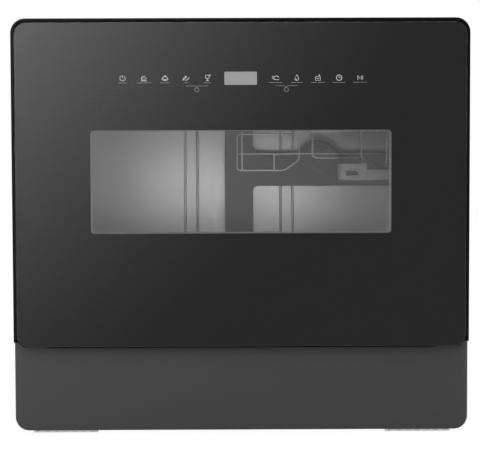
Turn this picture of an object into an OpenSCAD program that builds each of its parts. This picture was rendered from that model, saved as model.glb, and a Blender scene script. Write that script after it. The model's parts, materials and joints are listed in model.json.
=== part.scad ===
// Countertop dishwasher: a casing with a drop-down glass door over a plinth.
// Millimetres, Z up, the door faces -Y. The origin is on the standing surface,
// under the middle of the whole machine.

/* [Casing] */
// Width of the casing
body_w = 500; // [490:1:540]
// Height of the casing without its feet
body_h = 452; // [445:1:500]
// Depth of the casing from its front rim to the rear panel's outer face
case_d = 450; // [445:1:500]
// Wall of the wrap and of the plinth
wall = 2.4; // [1.6:0.1:2.8]
// Radius of the casing's long corners
corner_r = 16; // [12:1:20]
// Height of the plinth under the door
plinth_h = 98; // [94:1:104]
// How far the plinth's face lies behind the rim
plinth_back = 4; // [3.5:0.5:6]
// Radius of the plinth's upright edges
plinth_r = 8; // [6:1:18]
// Depth of the plinth's side returns
plinth_d = 24; // [22:1:26]
// Height of the base tray's walls
tray_h = 19; // [17:1:24]
// Wall and floor of the base tray
tray_wall = 3; // [2.5:0.1:4]
// Thickness of the rear panel and of the front frame
sheet = 2; // [1.2:0.1:2.2]
// Height of the feet
foot_h = 3; // [2:0.5:5]
// Length of a foot strip
foot_len = 71; // [50:1:90]
// Width of a foot strip
foot_w = 16; // [10:1:18]
// Distance from the casing's side to the outer end of a foot strip
foot_in = 20; // [18:1:35]

/* [Door] */
// How far the glass stands in front of the rim
door_proud = 12; // [11:0.5:14]
// Gap between the door and the casing's rim
door_gap = 1.2; // [1:0.1:2]
// How far the hinge axis lies in front of the rim
hinge_out = 2.5; // [2:0.1:3]
// How far the door's lower edge hangs below the hinge axis
door_drop = 5; // [4:0.1:5.4]
// Thickness of the front glass
glass_t = 3.2; // [2.8:0.1:4]
// Radius of the glass plate's corners
glass_r = 13; // [8:1:18]
// Thickness of the black print behind the glass
print_t = 0.3; // [0.2:0.1:0.5]
// Border of the door frame that shows round the glass
glass_lip = 1.5; // [0.5:0.1:2]
// Wall of the door frame
door_wall = 3; // [2:0.1:3.4]
// Depth from the hinge axis back to the door frame's rear edge
frame_back = 20; // [18:0.5:22]
// Depth from the hinge axis back to the liner's raised face
liner_back = 34; // [32:0.5:35]
// Sheet of the inner liner
liner_t = 1; // [0.8:0.1:1.2]
// Width of the window
window_w = 327; // [300:1:340]
// Height of the window's lower edge above the hinge axis
window_up = 120.1; // [116:0.1:126]
// Distance from the door's upper edge down to the window
window_down = 117.9; // [112:0.1:124]
// Radius of the window's corners
window_r = 4; // [2:0.5:8]
// Thickness of the window's inner pane
pane_t = 3; // [2:0.1:4]
// Radius of the hinge pins
pin_r = 2.5; // [2:0.1:3]
// Distance from the casing's side to the middle of a hinge bracket
hinge_in = 26; // [24:0.5:29]

/* [Controls] */
// Distance from the door's upper edge down to the row of touch signs
controls_down = 61.9; // [58:0.1:66]
// Width of the display
display_w = 35.3; // [30:0.1:40]
// Height of the display
display_h = 14.3; // [12:0.1:18]
// Length of the touch board
board_w = 290; // [270:1:320]
// Height of the touch board
board_h = 34; // [28:1:40]

/* [Tub] */
// Space between the tub's side and the wrap
tub_side = 30.4; // [29:0.1:32]
// Space between the tub's roof and the wrap
tub_roof = 17.4; // [17:0.1:20]
// Height of the tub's floor above the hinge axis
tub_floor = 17; // [16:0.5:19]
// Space between the tub's back and the rear panel's outer face
tub_rear = 36.8; // [34:0.1:40]
// Sheet of the tub
tub_t = 1.2; // [0.8:0.1:1.4]
// Radius of the tub's long corners
tub_r = 22; // [16:1:26]
// Width of the tub's front flange
flange_w = 8; // [7:0.5:9]
// Radius of the upright beads in the tub's back
bead_r = 1.7; // [1.3:0.1:2]
// Distance from the middle to the middle of a pair of beads
bead_x = 62.5; // [55:0.5:80]
// Distance between the two beads of a pair
bead_pitch = 15.8; // [12:0.2:20]
// Thickness of the felt blanket round the tub
felt_t = 5; // [3:0.5:5.5]

/* [Water] */
// Width of the duct up the tub's back
duct_w = 36.4; // [30:0.2:44]
// Depth of the duct
duct_d = 20; // [16:0.5:22]
// Height of the duct's side branch
branch_h = 43; // [36:1:48]
// Height of the branch's middle above the tub's floor
branch_up = 158; // [150:1:166]
// Radius of the nozzle head on the branch
nozzle_r = 30; // [24:1:34]
// Distance from the middle to the nozzle head
nozzle_x = 103.5; // [90:0.5:120]
// Radius swept by the lower spray arm
arm_r = 156; // [140:1:158]
// Radius swept by the ceiling spray arm
top_arm_r = 110; // [90:1:130]
// Distance from the tub's side to the middle of the sump
sump_in = 104; // [100:1:108]
// Outer radius of the sump's bowl
sump_r = 50; // [46:1:52]
// Outer radius of the filter cup
filter_r = 34; // [30:0.5:36]
// Distance from the tub's side to the middle of the salt cap
salt_in = 68; // [64:1:72]
// Radius of the salt cap
salt_r = 27; // [24:0.5:28]
// Distance that the hose connectors stand out behind
stub_len = 18; // [14:1:22]

/* [Baskets] */
// Gap between the lower basket's side and the tub
basket_gap = 22; // [20:0.5:24]
// Depth of the lower basket
basket_d = 326; // [310:1:328]
// Height of the lower basket's rim above its floor
basket_h = 41; // [38:1:66]
// Radius of the basket's wires
wire_r = 1.5; // [1.3:0.1:1.8]
// Number of the basket's floor wires on each side of the middle one
wire_n = 5; // [4:1:7]
// Radius of a basket roller
roller_r = 12; // [10:0.5:13]
// Width of a basket roller
roller_w = 6; // [5:0.5:7]
// Height of the cup rack's top rail above the tub's floor
rack_up = 209; // [205:1:212]
// Depth of the cup rack
rack_d = 120; // [100:1:130]
// Width of the cup rack, from its pivot to its free end
rack_w = 201; // [192:1:204]
// Radius of the cup rack's wires
rack_r = 1.4; // [1.2:0.1:1.6]

/* [Hidden] */
$fn = 48;
eps = 0.01;
cut = 1;              // overlap of a cutting shape past the face that it cuts
fit = 0.05;           // radial clearance of a pin in its bore
seat = 0.3;           // gap between a loose piece and its seat
play = 0.2;           // gap between neighbouring sheets
weld = 0.05;          // gap at a weld between two solids of a piece

// Levels and planes of the casing
total_d = door_proud + case_d + stub_len;
front_y = -total_d/2;                     // face of the glass
rim_y = front_y + door_proud;             // front edge of the wrap
rear_y = rim_y + case_d;                  // outer face of the rear panel
top_z = foot_h + body_h;
mid_z = foot_h + body_h/2;
in_x = body_w/2 - wall;                   // inner face of the wrap's side
in_z = top_z - wall;                      // inner face of the wrap's top
plinth_z = foot_h + plinth_h;
plinth_y = rim_y + plinth_back;
plinth_y1 = plinth_y + plinth_d;
tray_z = foot_h + tray_h;                 // joint between the tray and the wrap
tray_in = foot_h + tray_wall;             // top of the tray's floor
panel_y = rear_y - sheet;
return_w = 10;                            // width of the wrap's rear return

// The door, measured from its hinge axis
hinge_y = rim_y - hinge_out;
hinge_z = plinth_z;
door_x = in_x - door_gap;
door_z0 = hinge_z - door_drop;
door_z1 = in_z - door_gap;
door_zc = (door_z0 + door_z1)/2;
door_h = door_z1 - door_z0;
door_r = glass_r + glass_lip;
glass_y = front_y + glass_t;              // back of the glass
skin_y = glass_y + print_t;               // front of the door frame
skin_t = 2;                               // front skin of the door frame
heel = 3.3;                               // how far the door's lower lip reaches back of the axis
step_up = 1.4;                            // height of the frame behind the lip above the axis
frame_y1 = hinge_y + frame_back;
liner_y1 = hinge_y + liner_back;          // raised face of the liner
liner_f = frame_y1 + liner_t;             // back of the liner's flange
liner_z0 = hinge_z + 2;
liner_z1 = door_z1 - 4.4;
raise_x = in_x - 42.6;                    // half width of the liner's raised part
raise_z0 = hinge_z + 31;
raise_z1 = door_z1 - 27.4;
raise_r = 10;                             // radius of the raised part's corners
window_h = door_z1 - window_down - hinge_z - window_up;
window_z = hinge_z + window_up + window_h/2;
controls_z = door_z1 - controls_down;
hinge_x = body_w/2 - hinge_in;
notch_w = 24;                             // width of the notch for a hinge bracket
notch_up = 12;                            // height of that notch above the axis
cheek = 4;                                // solid cheek each side of the notch
knuckle_r = 4.5;

// The tub
rest_gap = 3.5;                           // from the liner's raised face to the front frame
frame_y = liner_y1 + rest_gap;            // front of the front frame
tub_xo = in_x - tub_side;
tub_xi = tub_xo - tub_t;
floor_z = hinge_z + tub_floor;
roof_z = in_z - tub_roof - tub_t;         // underside of the tub's roof
tub_y1 = rear_y - tub_rear - tub_t;       // inner face of the tub's back
tub_h = roof_z - floor_z;
tub_zc = (roof_z + floor_z)/2;
under_z = floor_z - tub_t;                // underside of the tub's floor
flange_y = frame_y - tub_t;               // front of the tub's flange

// Water parts
arm_y = (frame_y + tub_y1)/2;             // middle of the tub, and of both spray arms
post_r = 13;
stub_r = 8;                               // bearing stub of a spray arm
arm_z = floor_z + 11;                     // underside of the lower arm
arm_t = 8;
arm_hub = 16;
top_arm_t = 7;
top_arm_z = roof_z - 22;                  // underside of the ceiling arm
pump_z = tray_in + 44;                    // height of the pumps' shafts
pump_r = 40;
pump_l = 30;
motor_r = 30;
drain_r = 24;
drain_l = 20;
drain_motor_r = 20;
duct_y1 = tub_y1 - bead_r;                // back of the duct
duct_y0 = duct_y1 - duct_d;
duct_wall = 2;
branch_z = floor_z + branch_up;
branch_x1 = tub_xi - 8;
channel_h = 8;                            // height of the duct's foot channel on the floor
float_x = tub_xi - 66;
float_y = tub_y1 - 34;
salt_x = tub_xi - salt_in;
salt_y = arm_y - 121;
sump_x = tub_xi - sump_in;                // the sump lies at -sump_x
tank_x = 55;                              // half width of the salt tank
foot_out = body_w/2 - foot_in;            // outer end of a foot strip
latch_d = 34;                             // depth of the latch housing
service_z = tray_in + 54;                 // height of the connectors in the rear panel

// Baskets
roller_z = floor_z + roller_r + seat;
roller_y = 115;                           // rollers before and behind the basket's middle
basket_y0 = liner_y1 + 20.5;
basket_y1 = basket_y0 + basket_d;
basket_yc = (basket_y0 + basket_y1)/2;
basket_x = tub_xi - basket_gap;           // half of the basket's width
basket_z = floor_z + 31.5;                // middle of the lowest floor wires
rim_z = basket_z + basket_h;
leg_x = basket_x - 17;                    // basket legs stand on the outermost floor wire
wire_pitch = leg_x/wire_n;
axle_r = 2.5;
rack_top = floor_z + rack_up;
rack_y0 = -40;
rack_y1 = rack_y0 + rack_d;
pivot_x = tub_xi - 12;                    // axis that the cup rack swings about
rack_mid = rack_top - 25;                 // rail that ends at the pivot
rack_low = rack_top - 44;                 // rail under the left bay
rack_step = rack_top - 30;                // rail under the right bay
rack_x = pivot_x - rack_w;                // free end of the rack
pivot_z = rack_mid;
pivot_r = 2;

// Rounded rectangle about the origin
module rounded(w, h, r) {
  square([w - 2*r, h], center = true);
  square([w, h - 2*r], center = true);
  for (sx = [-1, 1], sz = [-1, 1])
    translate([sx*(w/2 - r), sz*(h/2 - r)]) circle(r);
}

// Slab with rounded corners seen from the front, between two planes y0 and y1
module slab(w, h, r, y0, y1, x = 0, z = 0) {
  translate([x, y1, z]) rotate([90, 0, 0]) linear_extrude(y1 - y0) rounded(w, h, r);
}

// Box given by its lowest and highest corners
module block(x0, x1, y0, y1, z0, z1) {
  translate([x0, y0, z0]) cube([x1 - x0, y1 - y0, z1 - z0]);
}

// Cylinders along the three axes, from their start point
module bar_x(r, x0, x1, y, z) {
  translate([x0, y, z]) rotate([0, 90, 0]) cylinder(r = r, h = x1 - x0);
}
module bar_y(r, y0, y1, x, z) {
  translate([x, y1, z]) rotate([90, 0, 0]) cylinder(r = r, h = y1 - y0);
}
module bar_z(r, z0, z1, x, y) {
  translate([x, y, z0]) cylinder(r = r, h = z1 - z0);
}

// Straight wire between two points
module wire(a, b, r) {
  d = b - a;
  l = norm(d);
  translate(a) rotate([0, acos(d[2]/l), atan2(d[1], d[0])])
    cylinder(r = r, h = l, $fn = 20);
}

// ---- casing ----

module cabinet_wrap() {
  color("dimgray") {
    difference() {
      slab(body_w, body_h, corner_r, rim_y, rear_y, 0, mid_z);
      slab(body_w - 2*wall, body_h - 2*wall, corner_r - wall, rim_y - cut, rear_y + cut,
        0, mid_z);
      block(-body_w, body_w, rim_y - cut, rear_y + cut, 0, tray_z + play);
      block(-body_w, body_w, rim_y - cut, plinth_y1 + play, 0, plinth_z);
    }
    // return behind which the rear panel is screwed
    difference() {
      slab(body_w - wall, body_h - wall, corner_r - wall/2, panel_y - sheet, panel_y,
        0, mid_z);
      slab(body_w - 2*wall - 2*return_w, body_h - 2*wall - 2*return_w, 6,
        panel_y - sheet - cut, panel_y + cut, 0, mid_z);
      block(-body_w, body_w, panel_y - sheet - cut, panel_y + cut, 0, tray_z + play);
      screw_holes(1.6);
    }
  }
}

// Places of the screws round the rear panel
module screw_places() {
  for (sx = [-1, 1], z = [tray_z + 30, mid_z, in_z - 30])
    translate([sx*(in_x - return_w/2), 0, z]) children();
  for (sx = [-1, 1]) translate([sx*in_x/2, 0, in_z - return_w/2]) children();
}

module screw_holes(r) {
  screw_places() bar_y(r, panel_y - 3*sheet, rear_y + cut, 0, 0);
}

module rear_screws() {
  color("silver") screw_places() {
    bar_y(1.5, panel_y - 2*sheet - 3, rear_y, 0, 0);
    difference() {
      bar_y(3.4, rear_y, rear_y + 2, 0, 0);
      block(-2.6, 2.6, rear_y + 1.2, rear_y + 3, -0.5, 0.5);
    }
  }
}

module rear_panel() {
  vents = 9;
  vent_w = 3;
  vent_pitch = 9;
  color("gray") difference() {
    union() {
      slab(2*in_x - 2*play, in_z - tray_z - 2*play, corner_r - wall - play, panel_y, rear_y,
        0, (in_z + tray_z)/2);
      block(-in_x + play, in_x - play, panel_y, rear_y, tray_z + play, mid_z);
    }
    screw_holes(1.6);
    bar_y(13 + seat, panel_y - cut, rear_y + cut, valve_x(), service_z);
    bar_y(9 + seat, panel_y - cut, rear_y + cut, spigot_x(), service_z);
    bar_y(10 + seat, panel_y - cut, rear_y + cut, gland_x(), service_z);
    for (i = [0:vents - 1])
      slab(vent_w, 40, 1.4, panel_y - cut, rear_y + cut,
        (i - (vents - 1)/2)*vent_pitch, service_z);
  }
}

function valve_x() = 150;
function spigot_x() = 100;
function gland_x() = -150;

module base_tray() {
  color("dimgray") {
    difference() {
      intersection() {
        slab(body_w, body_h, corner_r, plinth_y1 + play, rear_y, 0, mid_z);
        block(-body_w, body_w, rim_y, rear_y + cut, 0, tray_z);
      }
      slab(body_w - 2*tray_wall, body_h - 2*tray_wall, corner_r - tray_wall,
        plinth_y1 + play + tray_wall, rear_y - tray_wall, 0, mid_z);
      for (sx = [-1, 1]) bar_z(3 + fit, 0, tray_z, sx*foot_mid(), rear_foot_y());
    }
    // pillars under the rear of the tub
    for (sx = [-1, 1])
      block(sx*175 - 10, sx*175 + 10, tub_y1 - 60, tub_y1 - 40, tray_in - eps,
        under_z - play);
    // saddles of the pumps and of the heater
    saddle(60, arm_y, motor_r, pump_z, 0);
    saddle(95, arm_y, motor_r, pump_z, 0);
    saddle(-sump_x, arm_y + sump_r + 45, drain_motor_r, pump_z, 90);
    for (x = [heater_x0 + 25, heater_x1() - 25])
      saddle(x, heater_y(), heater_r, heater_z(), 0);
  }
}

function foot_mid() = foot_out - foot_len/2;
function rear_foot_y() = rear_y - 24;
heater_r = 18;
heater_x0 = -65;
function heater_x1() = salt_x - tank_x - 28;
function heater_y() = arm_y - 106;
function heater_z() = tray_in + heater_r + 6;

// Cradle under a cylinder of radius r whose axis is at height z
module saddle(x, y, r, z, turn) {
  translate([x, y, 0]) rotate([0, 0, turn]) difference() {
    block(-4, 4, -r*0.8, r*0.8, tray_in - eps, z - r*0.4);
    translate([0, 0, z]) rotate([0, 90, 0])
      cylinder(r = r + seat, h = 20, center = true);
  }
}

// The plinth's plan: a bar with rounded front corners, drawn in by d
module plinth_plan(d) {
  r = plinth_r - d;
  xc = body_w/2 - plinth_r;
  yc = plinth_y + plinth_r;
  translate([-xc, plinth_y + d]) square([2*xc, plinth_d - d]);
  translate([-body_w/2 + d, yc]) square([body_w - 2*d, plinth_y1 - yc]);
  for (sx = [-1, 1]) translate([sx*xc, yc]) circle(r);
}

module plinth_panel() {
  color([0.27, 0.27, 0.27]) difference() {
    intersection() {
      translate([0, 0, foot_h]) linear_extrude(plinth_h) plinth_plan(0);
      slab(body_w, body_h, corner_r, plinth_y - cut, plinth_y1, 0, mid_z);
    }
    intersection() {
      translate([0, 0, foot_h]) linear_extrude(plinth_h - wall) {
        plinth_plan(wall);
        translate([-body_w/2 + wall, plinth_y + plinth_r])
          square([body_w - 2*wall, plinth_d]);
      }
      slab(body_w - 2*wall, body_h - 2*wall, corner_r - wall, plinth_y - cut,
        plinth_y1 + plinth_d, 0, mid_z);
    }
    for (sx = [-1, 1]) bar_z(3 + fit, 0, foot_h + wall + cut, sx*foot_mid(), front_foot_y());
  }
}

function front_foot_y() = plinth_y + 3 + foot_w/2;

// A foot strip with upright grooves in its front edge
module foot(x, y) {
  grooves = 7;
  groove_pitch = foot_len/grooves;
  translate([x, y, 0]) {
    difference() {
      block(-foot_len/2, foot_len/2, -foot_w/2, foot_w/2, 0, foot_h);
      for (i = [0:grooves - 1])
        translate([(i - (grooves - 1)/2)*groove_pitch, 0, 0])
          block(-2, 2, -foot_w/2 - cut, -foot_w/2 + 1.5, -cut, foot_h + cut);
    }
    bar_z(3, foot_h - eps, foot_h + 2, 0, 0);
  }
}

module feet() {
  color("gainsboro") for (sx = [-1, 1]) {
    foot(sx*foot_mid(), front_foot_y());
    foot(sx*foot_mid(), rear_foot_y());
  }
}

module front_frame() {
  color("slategray") difference() {
    union() {
      slab(2*in_x - 2*play, in_z - tray_z - 2*play, corner_r - wall - play, frame_y,
        frame_y + sheet, 0, (in_z + tray_z)/2);
      block(-foot_mid(), foot_mid(), frame_y, frame_y + sheet, tray_in, mid_z);
    }
    slab(2*tub_xo + 2*play, tub_h + 2*tub_t + 2*play, tub_r + tub_t + play, frame_y - cut,
      frame_y + sheet + cut, 0, tub_zc);
    block(-13, 13, frame_y - cut, frame_y + sheet + cut, striker_z() - 1.2, in_z - 2);
    bracket_screws() bar_y(2 + fit, frame_y - cut, frame_y + sheet + cut, 0, 0);
  }
}

function striker_z() = door_z1 - 7.2;

// Places of the two screws in each hinge bracket
module bracket_screws() {
  for (sx = [-1, 1], down = [14, 26])
    translate([sx*hinge_x, 0, hinge_z - down]) children();
}

// ---- tub ----

module tub() {
  color([0.72, 0.73, 0.74]) {
    difference() {
      union() {
        slab(2*tub_xo, tub_h + 2*tub_t, tub_r + tub_t, flange_y, tub_y1 + tub_t, 0, tub_zc);
        slab(2*tub_xo + 2*flange_w, tub_h + 2*tub_t + 2*flange_w, tub_r + flange_w, flange_y,
          frame_y, 0, tub_zc);
      }
      slab(2*tub_xi, tub_h, tub_r, flange_y - cut, tub_y1, 0, tub_zc);
      bar_z(sump_r - 6, under_z - cut, floor_z + cut, -sump_x, arm_y);
      bar_z(salt_r + 1, under_z - cut, floor_z + cut, salt_x, salt_y);
      bar_z(post_r + seat, under_z - cut, floor_z + cut, 0, arm_y);
      bar_z(4.5, under_z - cut, floor_z + cut, float_x, float_y);
    }
    for (sx = [-1, 1], k = [-0.5, 0.5])
      bar_z(bead_r, floor_z + 14, roof_z - 14, sx*bead_x + k*bead_pitch,
        tub_y1 + tub_t/2);
  }
}

module insulation_felt() {
  color("darkslategray") difference() {
    slab(2*tub_xo + 2*felt_t + 2*play, tub_h + 2*tub_t + 2*felt_t + 2*play,
      tub_r + felt_t, frame_y + sheet + latch_d + 6, tub_y1 - 4, 0, tub_zc);
    slab(2*tub_xo + 2*play, tub_h + 2*tub_t + 2*play, tub_r + tub_t + play,
      frame_y, tub_y1, 0, tub_zc);
    block(-body_w, body_w, rim_y, rear_y, 0, floor_z + 24);
  }
}

module door_seal() {
  seal_w = 7;
  color("black") difference() {
    slab(2*tub_xo + 2*seal_w, tub_h + 2*tub_t + 2*seal_w, tub_r + seal_w, liner_f + seat,
      flange_y, 0, tub_zc);
    slab(2*tub_xo - 1, tub_h + 2*tub_t - 1, tub_r, liner_f, frame_y, 0, tub_zc);
    slab(2*tub_xo + seal_w, tub_h + 2*tub_t + seal_w, tub_r + seal_w/2, liner_f + 4,
      flange_y - 4, 0, tub_zc);
    block(-body_w, body_w, rim_y, frame_y, 0, floor_z + tub_r);
  }
}

module bottom_seal() {
  color("black") block(-tub_xi + tub_r, tub_xi - tub_r, liner_f + seat, flange_y,
    under_z - flange_w + 1, under_z - 1);
}

// ---- water parts ----

// The bowl's floor is a disc of its own, welded to the wall
module sump() {
  pipe_r = 11;
  bowl_z = pump_z - 16;
  bowl_t = 3;
  color("darkgray") {
    bar_z(sump_r, bowl_z, bowl_z + bowl_t, -sump_x, arm_y);
    difference() {
      union() {
        bar_z(sump_r + 6, under_z - 3, under_z, -sump_x, arm_y);
        bar_z(sump_r, bowl_z + bowl_t + weld, under_z, -sump_x, arm_y);
        bar_x(pipe_r, -sump_x, -pump_l/2 - seat, arm_y, pump_z);
      }
      bar_z(sump_r - 4, bowl_z, under_z + cut, -sump_x, arm_y);
      bar_x(pipe_r - 3, -sump_x, 0, arm_y, pump_z);
      bar_y(8, arm_y, arm_y + sump_r + cut, -sump_x, pump_z);
    }
  }
}

module filter_cup() {
  cup_z0 = pump_z + 14;
  color("whitesmoke") difference() {
    union() {
      bar_z(filter_r, cup_z0, floor_z + 2.6, -sump_x, arm_y);
      block(-sump_x - 22, -sump_x + 22, arm_y - 3.5, arm_y + 3.5, floor_z + 2.6 - eps,
        floor_z + 8);
    }
    bar_z(filter_r - 2, cup_z0 + 2, floor_z + 0.6, -sump_x, arm_y);
    for (a = [0:30:359], k = [0:1])
      translate([-sump_x, arm_y, cup_z0 + 10 + k*20]) rotate([0, 0, a])
        block(filter_r - 3, filter_r + 1, -3, 3, 0, 12);
  }
}

module filter_plate() {
  rows = [[41, 20], [46, 24], [51, 24]];
  color("silver") difference() {
    bar_z(sump_r + 5, floor_z + seat, floor_z + seat + tub_t, -sump_x, arm_y);
    bar_z(filter_r + 0.6, floor_z, floor_z + 5, -sump_x, arm_y);
    for (row = rows, i = [0:row[1] - 1])
      translate([-sump_x, arm_y, 0]) rotate([0, 0, i*360/row[1]])
        bar_z(1.2, floor_z, floor_z + 3, row[0], 0);
  }
}

module softener_tank() {
  tank_y = 50;
  neck_z = under_z - 8;
  color("lightgray") difference() {
    union() {
      translate([salt_x, salt_y, tray_in]) linear_extrude(neck_z - tray_in)
        rounded(2*tank_x, 2*tank_y, 10);
      bar_z(salt_r + 4, neck_z - eps, under_z, salt_x, salt_y);
    }
    translate([salt_x, salt_y, tray_in + 3]) linear_extrude(neck_z - tray_in - 6)
      rounded(2*tank_x - 6, 2*tank_y - 6, 8);
    bar_z(salt_r - 2, neck_z - 8, under_z + cut, salt_x, salt_y);
  }
}

module salt_cap() {
  cap_t = 6;
  color("ghostwhite") difference() {
    union() {
      bar_z(salt_r, floor_z + seat, floor_z + cap_t, salt_x, salt_y);
      bar_z(salt_r - 2.3, under_z - 9, floor_z + seat + eps, salt_x, salt_y);
      block(salt_x - 16, salt_x + 16, salt_y - 3, salt_y + 3, floor_z + cap_t - eps,
        floor_z + cap_t + 2);
    }
    bar_z(salt_r - 5, under_z - 10, floor_z + 2, salt_x, salt_y);
  }
}

// Pump along +X from the origin: a hollow volute, then its motor
module pump(volute_r, volute_l, body_r, body_l, inlet_r) {
  difference() {
    union() {
      bar_x(volute_r, 0, volute_l, 0, 0);
      bar_x(body_r, volute_l - eps, volute_l + body_l, 0, 0);
      bar_x(body_r*0.6, volute_l + body_l - eps, volute_l + body_l + 6, 0, 0);
    }
    bar_x(volute_r - 4, 3, volute_l - 3, 0, 0);
    bar_x(inlet_r, -cut, 4, 0, 0);
    bar_x(3 + fit, volute_l - 4, volute_l + 24, 0, 0);
  }
}

// Impeller with its shaft, for a pump of the same sizes
module impeller(volute_r, volute_l) {
  blades = 6;
  disc_r = volute_r - 7;
  bar_x(3, 6, volute_l + 22, 0, 0);
  bar_x(disc_r, volute_l - 8, volute_l - 6, 0, 0);
  for (i = [0:blades - 1]) rotate([20 + i*360/blades, 0, 0])
    block(8, volute_l - 7, -1, 1, 2, disc_r - 1);
}

module wash_pump() {
  color("dimgray") translate([-pump_l/2, arm_y, pump_z]) {
    pump(pump_r, pump_l, motor_r, 100, 9);
    difference() {
      bar_z(10, pump_r - 2, pump_r + 8, pump_l/2, 0);
      bar_z(7, pump_r - 6, pump_r + 10, pump_l/2, 0);
    }
  }
}

module wash_impeller() {
  color("white") translate([-pump_l/2, arm_y, pump_z]) impeller(pump_r, pump_l);
}

module drain_pump() {
  color("dimgray") translate([-sump_x, arm_y + sump_r + seat, pump_z]) rotate([0, 0, 90])
    pump(drain_r, drain_l, drain_motor_r, 50, 7);
}

module drain_impeller() {
  color("white") translate([-sump_x, arm_y + sump_r + seat, pump_z]) rotate([0, 0, 90])
    impeller(drain_r, drain_l);
}

module flow_heater() {
  color("silver") {
    difference() {
      bar_x(heater_r, heater_x0, heater_x1(), heater_y(), heater_z());
      bar_x(heater_r - 2, heater_x0 - cut, heater_x1() + cut, heater_y(), heater_z());
    }
    for (x = [heater_x0 - 4, heater_x1()])
      bar_x(heater_r + 1.5, x, x + 4, heater_y(), heater_z());
  }
}

// Threaded spout: a tube with a few raised rings
module spout(r, bore, y0, y1, x, z) {
  difference() {
    union() {
      bar_y(r - 0.8, y0, y1, x, z);
      for (y = [y1 - 11:3:y1 - 2]) bar_y(r, y, y + 1.4, x, z);
    }
    bar_y(bore, y0 - cut, y1 + cut, x, z);
  }
}

module inlet_valve() {
  y_end = rear_y + stub_len;
  color("royalblue") {
    spout(13, 8, panel_y - 6, y_end, valve_x(), service_z);
    block(valve_x() - 18, valve_x() + 18, panel_y - 26, panel_y, service_z - 22,
      service_z + 22);
    bar_z(12, service_z + 22 - eps, service_z + 40, valve_x(), panel_y - 14);
    block(valve_x() - 5, valve_x() + 5, panel_y - 19, panel_y - 9, tray_in,
      service_z - 22 + eps);
  }
}

module drain_spigot() {
  color("dimgray") {
    spout(9, 6, panel_y - 14, rear_y + stub_len, spigot_x(), service_z);
    difference() {
      bar_y(15, panel_y - 3, panel_y, spigot_x(), service_z);
      bar_y(6, panel_y - 4, panel_y + cut, spigot_x(), service_z);
    }
  }
}

module lead_gland() {
  color("black") difference() {
    union() {
      bar_y(10, panel_y - 2, rear_y + 8, gland_x(), service_z);
      bar_y(14, rear_y, rear_y + 3, gland_x(), service_z);
      bar_y(14, panel_y - 4, panel_y, gland_x(), service_z);
    }
    bar_y(4, panel_y - 5, rear_y + 9, gland_x(), service_z);
  }
}

module control_box() {
  box_w = 110;
  box_d = 90;
  box_h = 34;
  x0 = -in_x + 26;
  y0 = frame_y + sheet + 12;
  color("ivory") {
    difference() {
      block(x0, x0 + box_w, y0, y0 + box_d, tray_in, tray_in + box_h);
      block(x0 + 2, x0 + box_w - 2, y0 + 2, y0 + box_d - 2, tray_in + 2,
        tray_in + box_h - 2);
    }
    for (i = [0:4]) block(x0 + 12 + i*20, x0 + 24 + i*20, y0 + box_d - eps,
      y0 + box_d + 5, tray_in + 6, tray_in + 22);
  }
}

module air_break() {
  z0 = floor_z + 22;
  z1 = roof_z - 54;
  x1 = -tub_xo - felt_t - 2*play;
  x0 = -in_x + 2*play;
  color("whitesmoke") difference() {
    block(x0, x1, arm_y - 90, arm_y + 110, z0, z1);
    for (i = [0:3]) block(x0 + 2, x1 - 2, arm_y - 86 + i*49, arm_y - 40 + i*49,
      z0 + 3, z1 - 3);
  }
}

module wall_duct() {
  fillet_up = 14;
  fillet_down = 7;
  top = roof_z - 10;
  color([0.33, 0.33, 0.34]) difference() {
    union() {
      // upright duct and the branch to the right
      block(-duct_w/2, duct_w/2, duct_y0, duct_y1, floor_z + seat, top);
      block(duct_w/2 - eps, branch_x1, duct_y0, duct_y1, branch_z - branch_h/2,
        branch_z + branch_h/2);
      duct_fillet(fillet_up, branch_z + branch_h/2, 1);
      duct_fillet(fillet_down, branch_z - branch_h/2, -1);
      // foot channel along the tub's floor to the post
      block(-14, 14, arm_y + post_r + 2, duct_y0 + eps, floor_z + seat,
        floor_z + channel_h);
    }
    block(-duct_w/2 + duct_wall, duct_w/2 - duct_wall, duct_y0 + duct_wall,
      duct_y1 - duct_wall, floor_z + seat + 2, top + cut);
    block(0, branch_x1 - duct_wall, duct_y0 + duct_wall, duct_y1 - duct_wall,
      branch_z - branch_h/2 + duct_wall, branch_z + branch_h/2 - duct_wall);
    block(-12, 12, arm_y + post_r, duct_y0 + 3, floor_z + seat + 2,
      floor_z + channel_h - 2);
    bar_y(6 + fit, duct_y0 - cut, duct_y0 + 3, nozzle_x, branch_z + 8);
  }
}

// Fillet where the branch leaves the duct, above it (up = 1) or below it (up = -1)
module duct_fillet(r, z, up) {
  difference() {
    block(duct_w/2 - eps, duct_w/2 + r, duct_y0, duct_y1, up > 0 ? z - eps : z - r,
      up > 0 ? z + r : z + eps);
    bar_y(r, duct_y0 - cut, duct_y1 + cut, duct_w/2 + r, z + up*r);
  }
}

// Round nozzle head on the branch, with stepped rings in its face
module nozzle_head() {
  jets = 8;
  z = branch_z + 8;
  color([0.25, 0.25, 0.26]) difference() {
    union() {
      bar_y(nozzle_r, duct_y0 - 8, duct_y0 - seat, nozzle_x, z);
      bar_y(nozzle_r - 4, duct_y0 - 11, duct_y0 - 8 + eps, nozzle_x, z);
      bar_y(nozzle_r - 9, duct_y0 - 13, duct_y0 - 11 + eps, nozzle_x, z);
      bar_y(6, duct_y0 - 1, duct_y0 + 1.8, nozzle_x, z);
    }
    bar_y(nozzle_r - 14, duct_y0 - 14, duct_y0 - 10, nozzle_x, z);
    for (i = [0:jets - 1]) translate([nozzle_x, 0, z]) rotate([0, i*360/jets, 0])
      bar_y(1.6, duct_y0 - 14, duct_y0 - 9, nozzle_r - 11.5, 0);
  }
}

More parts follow.
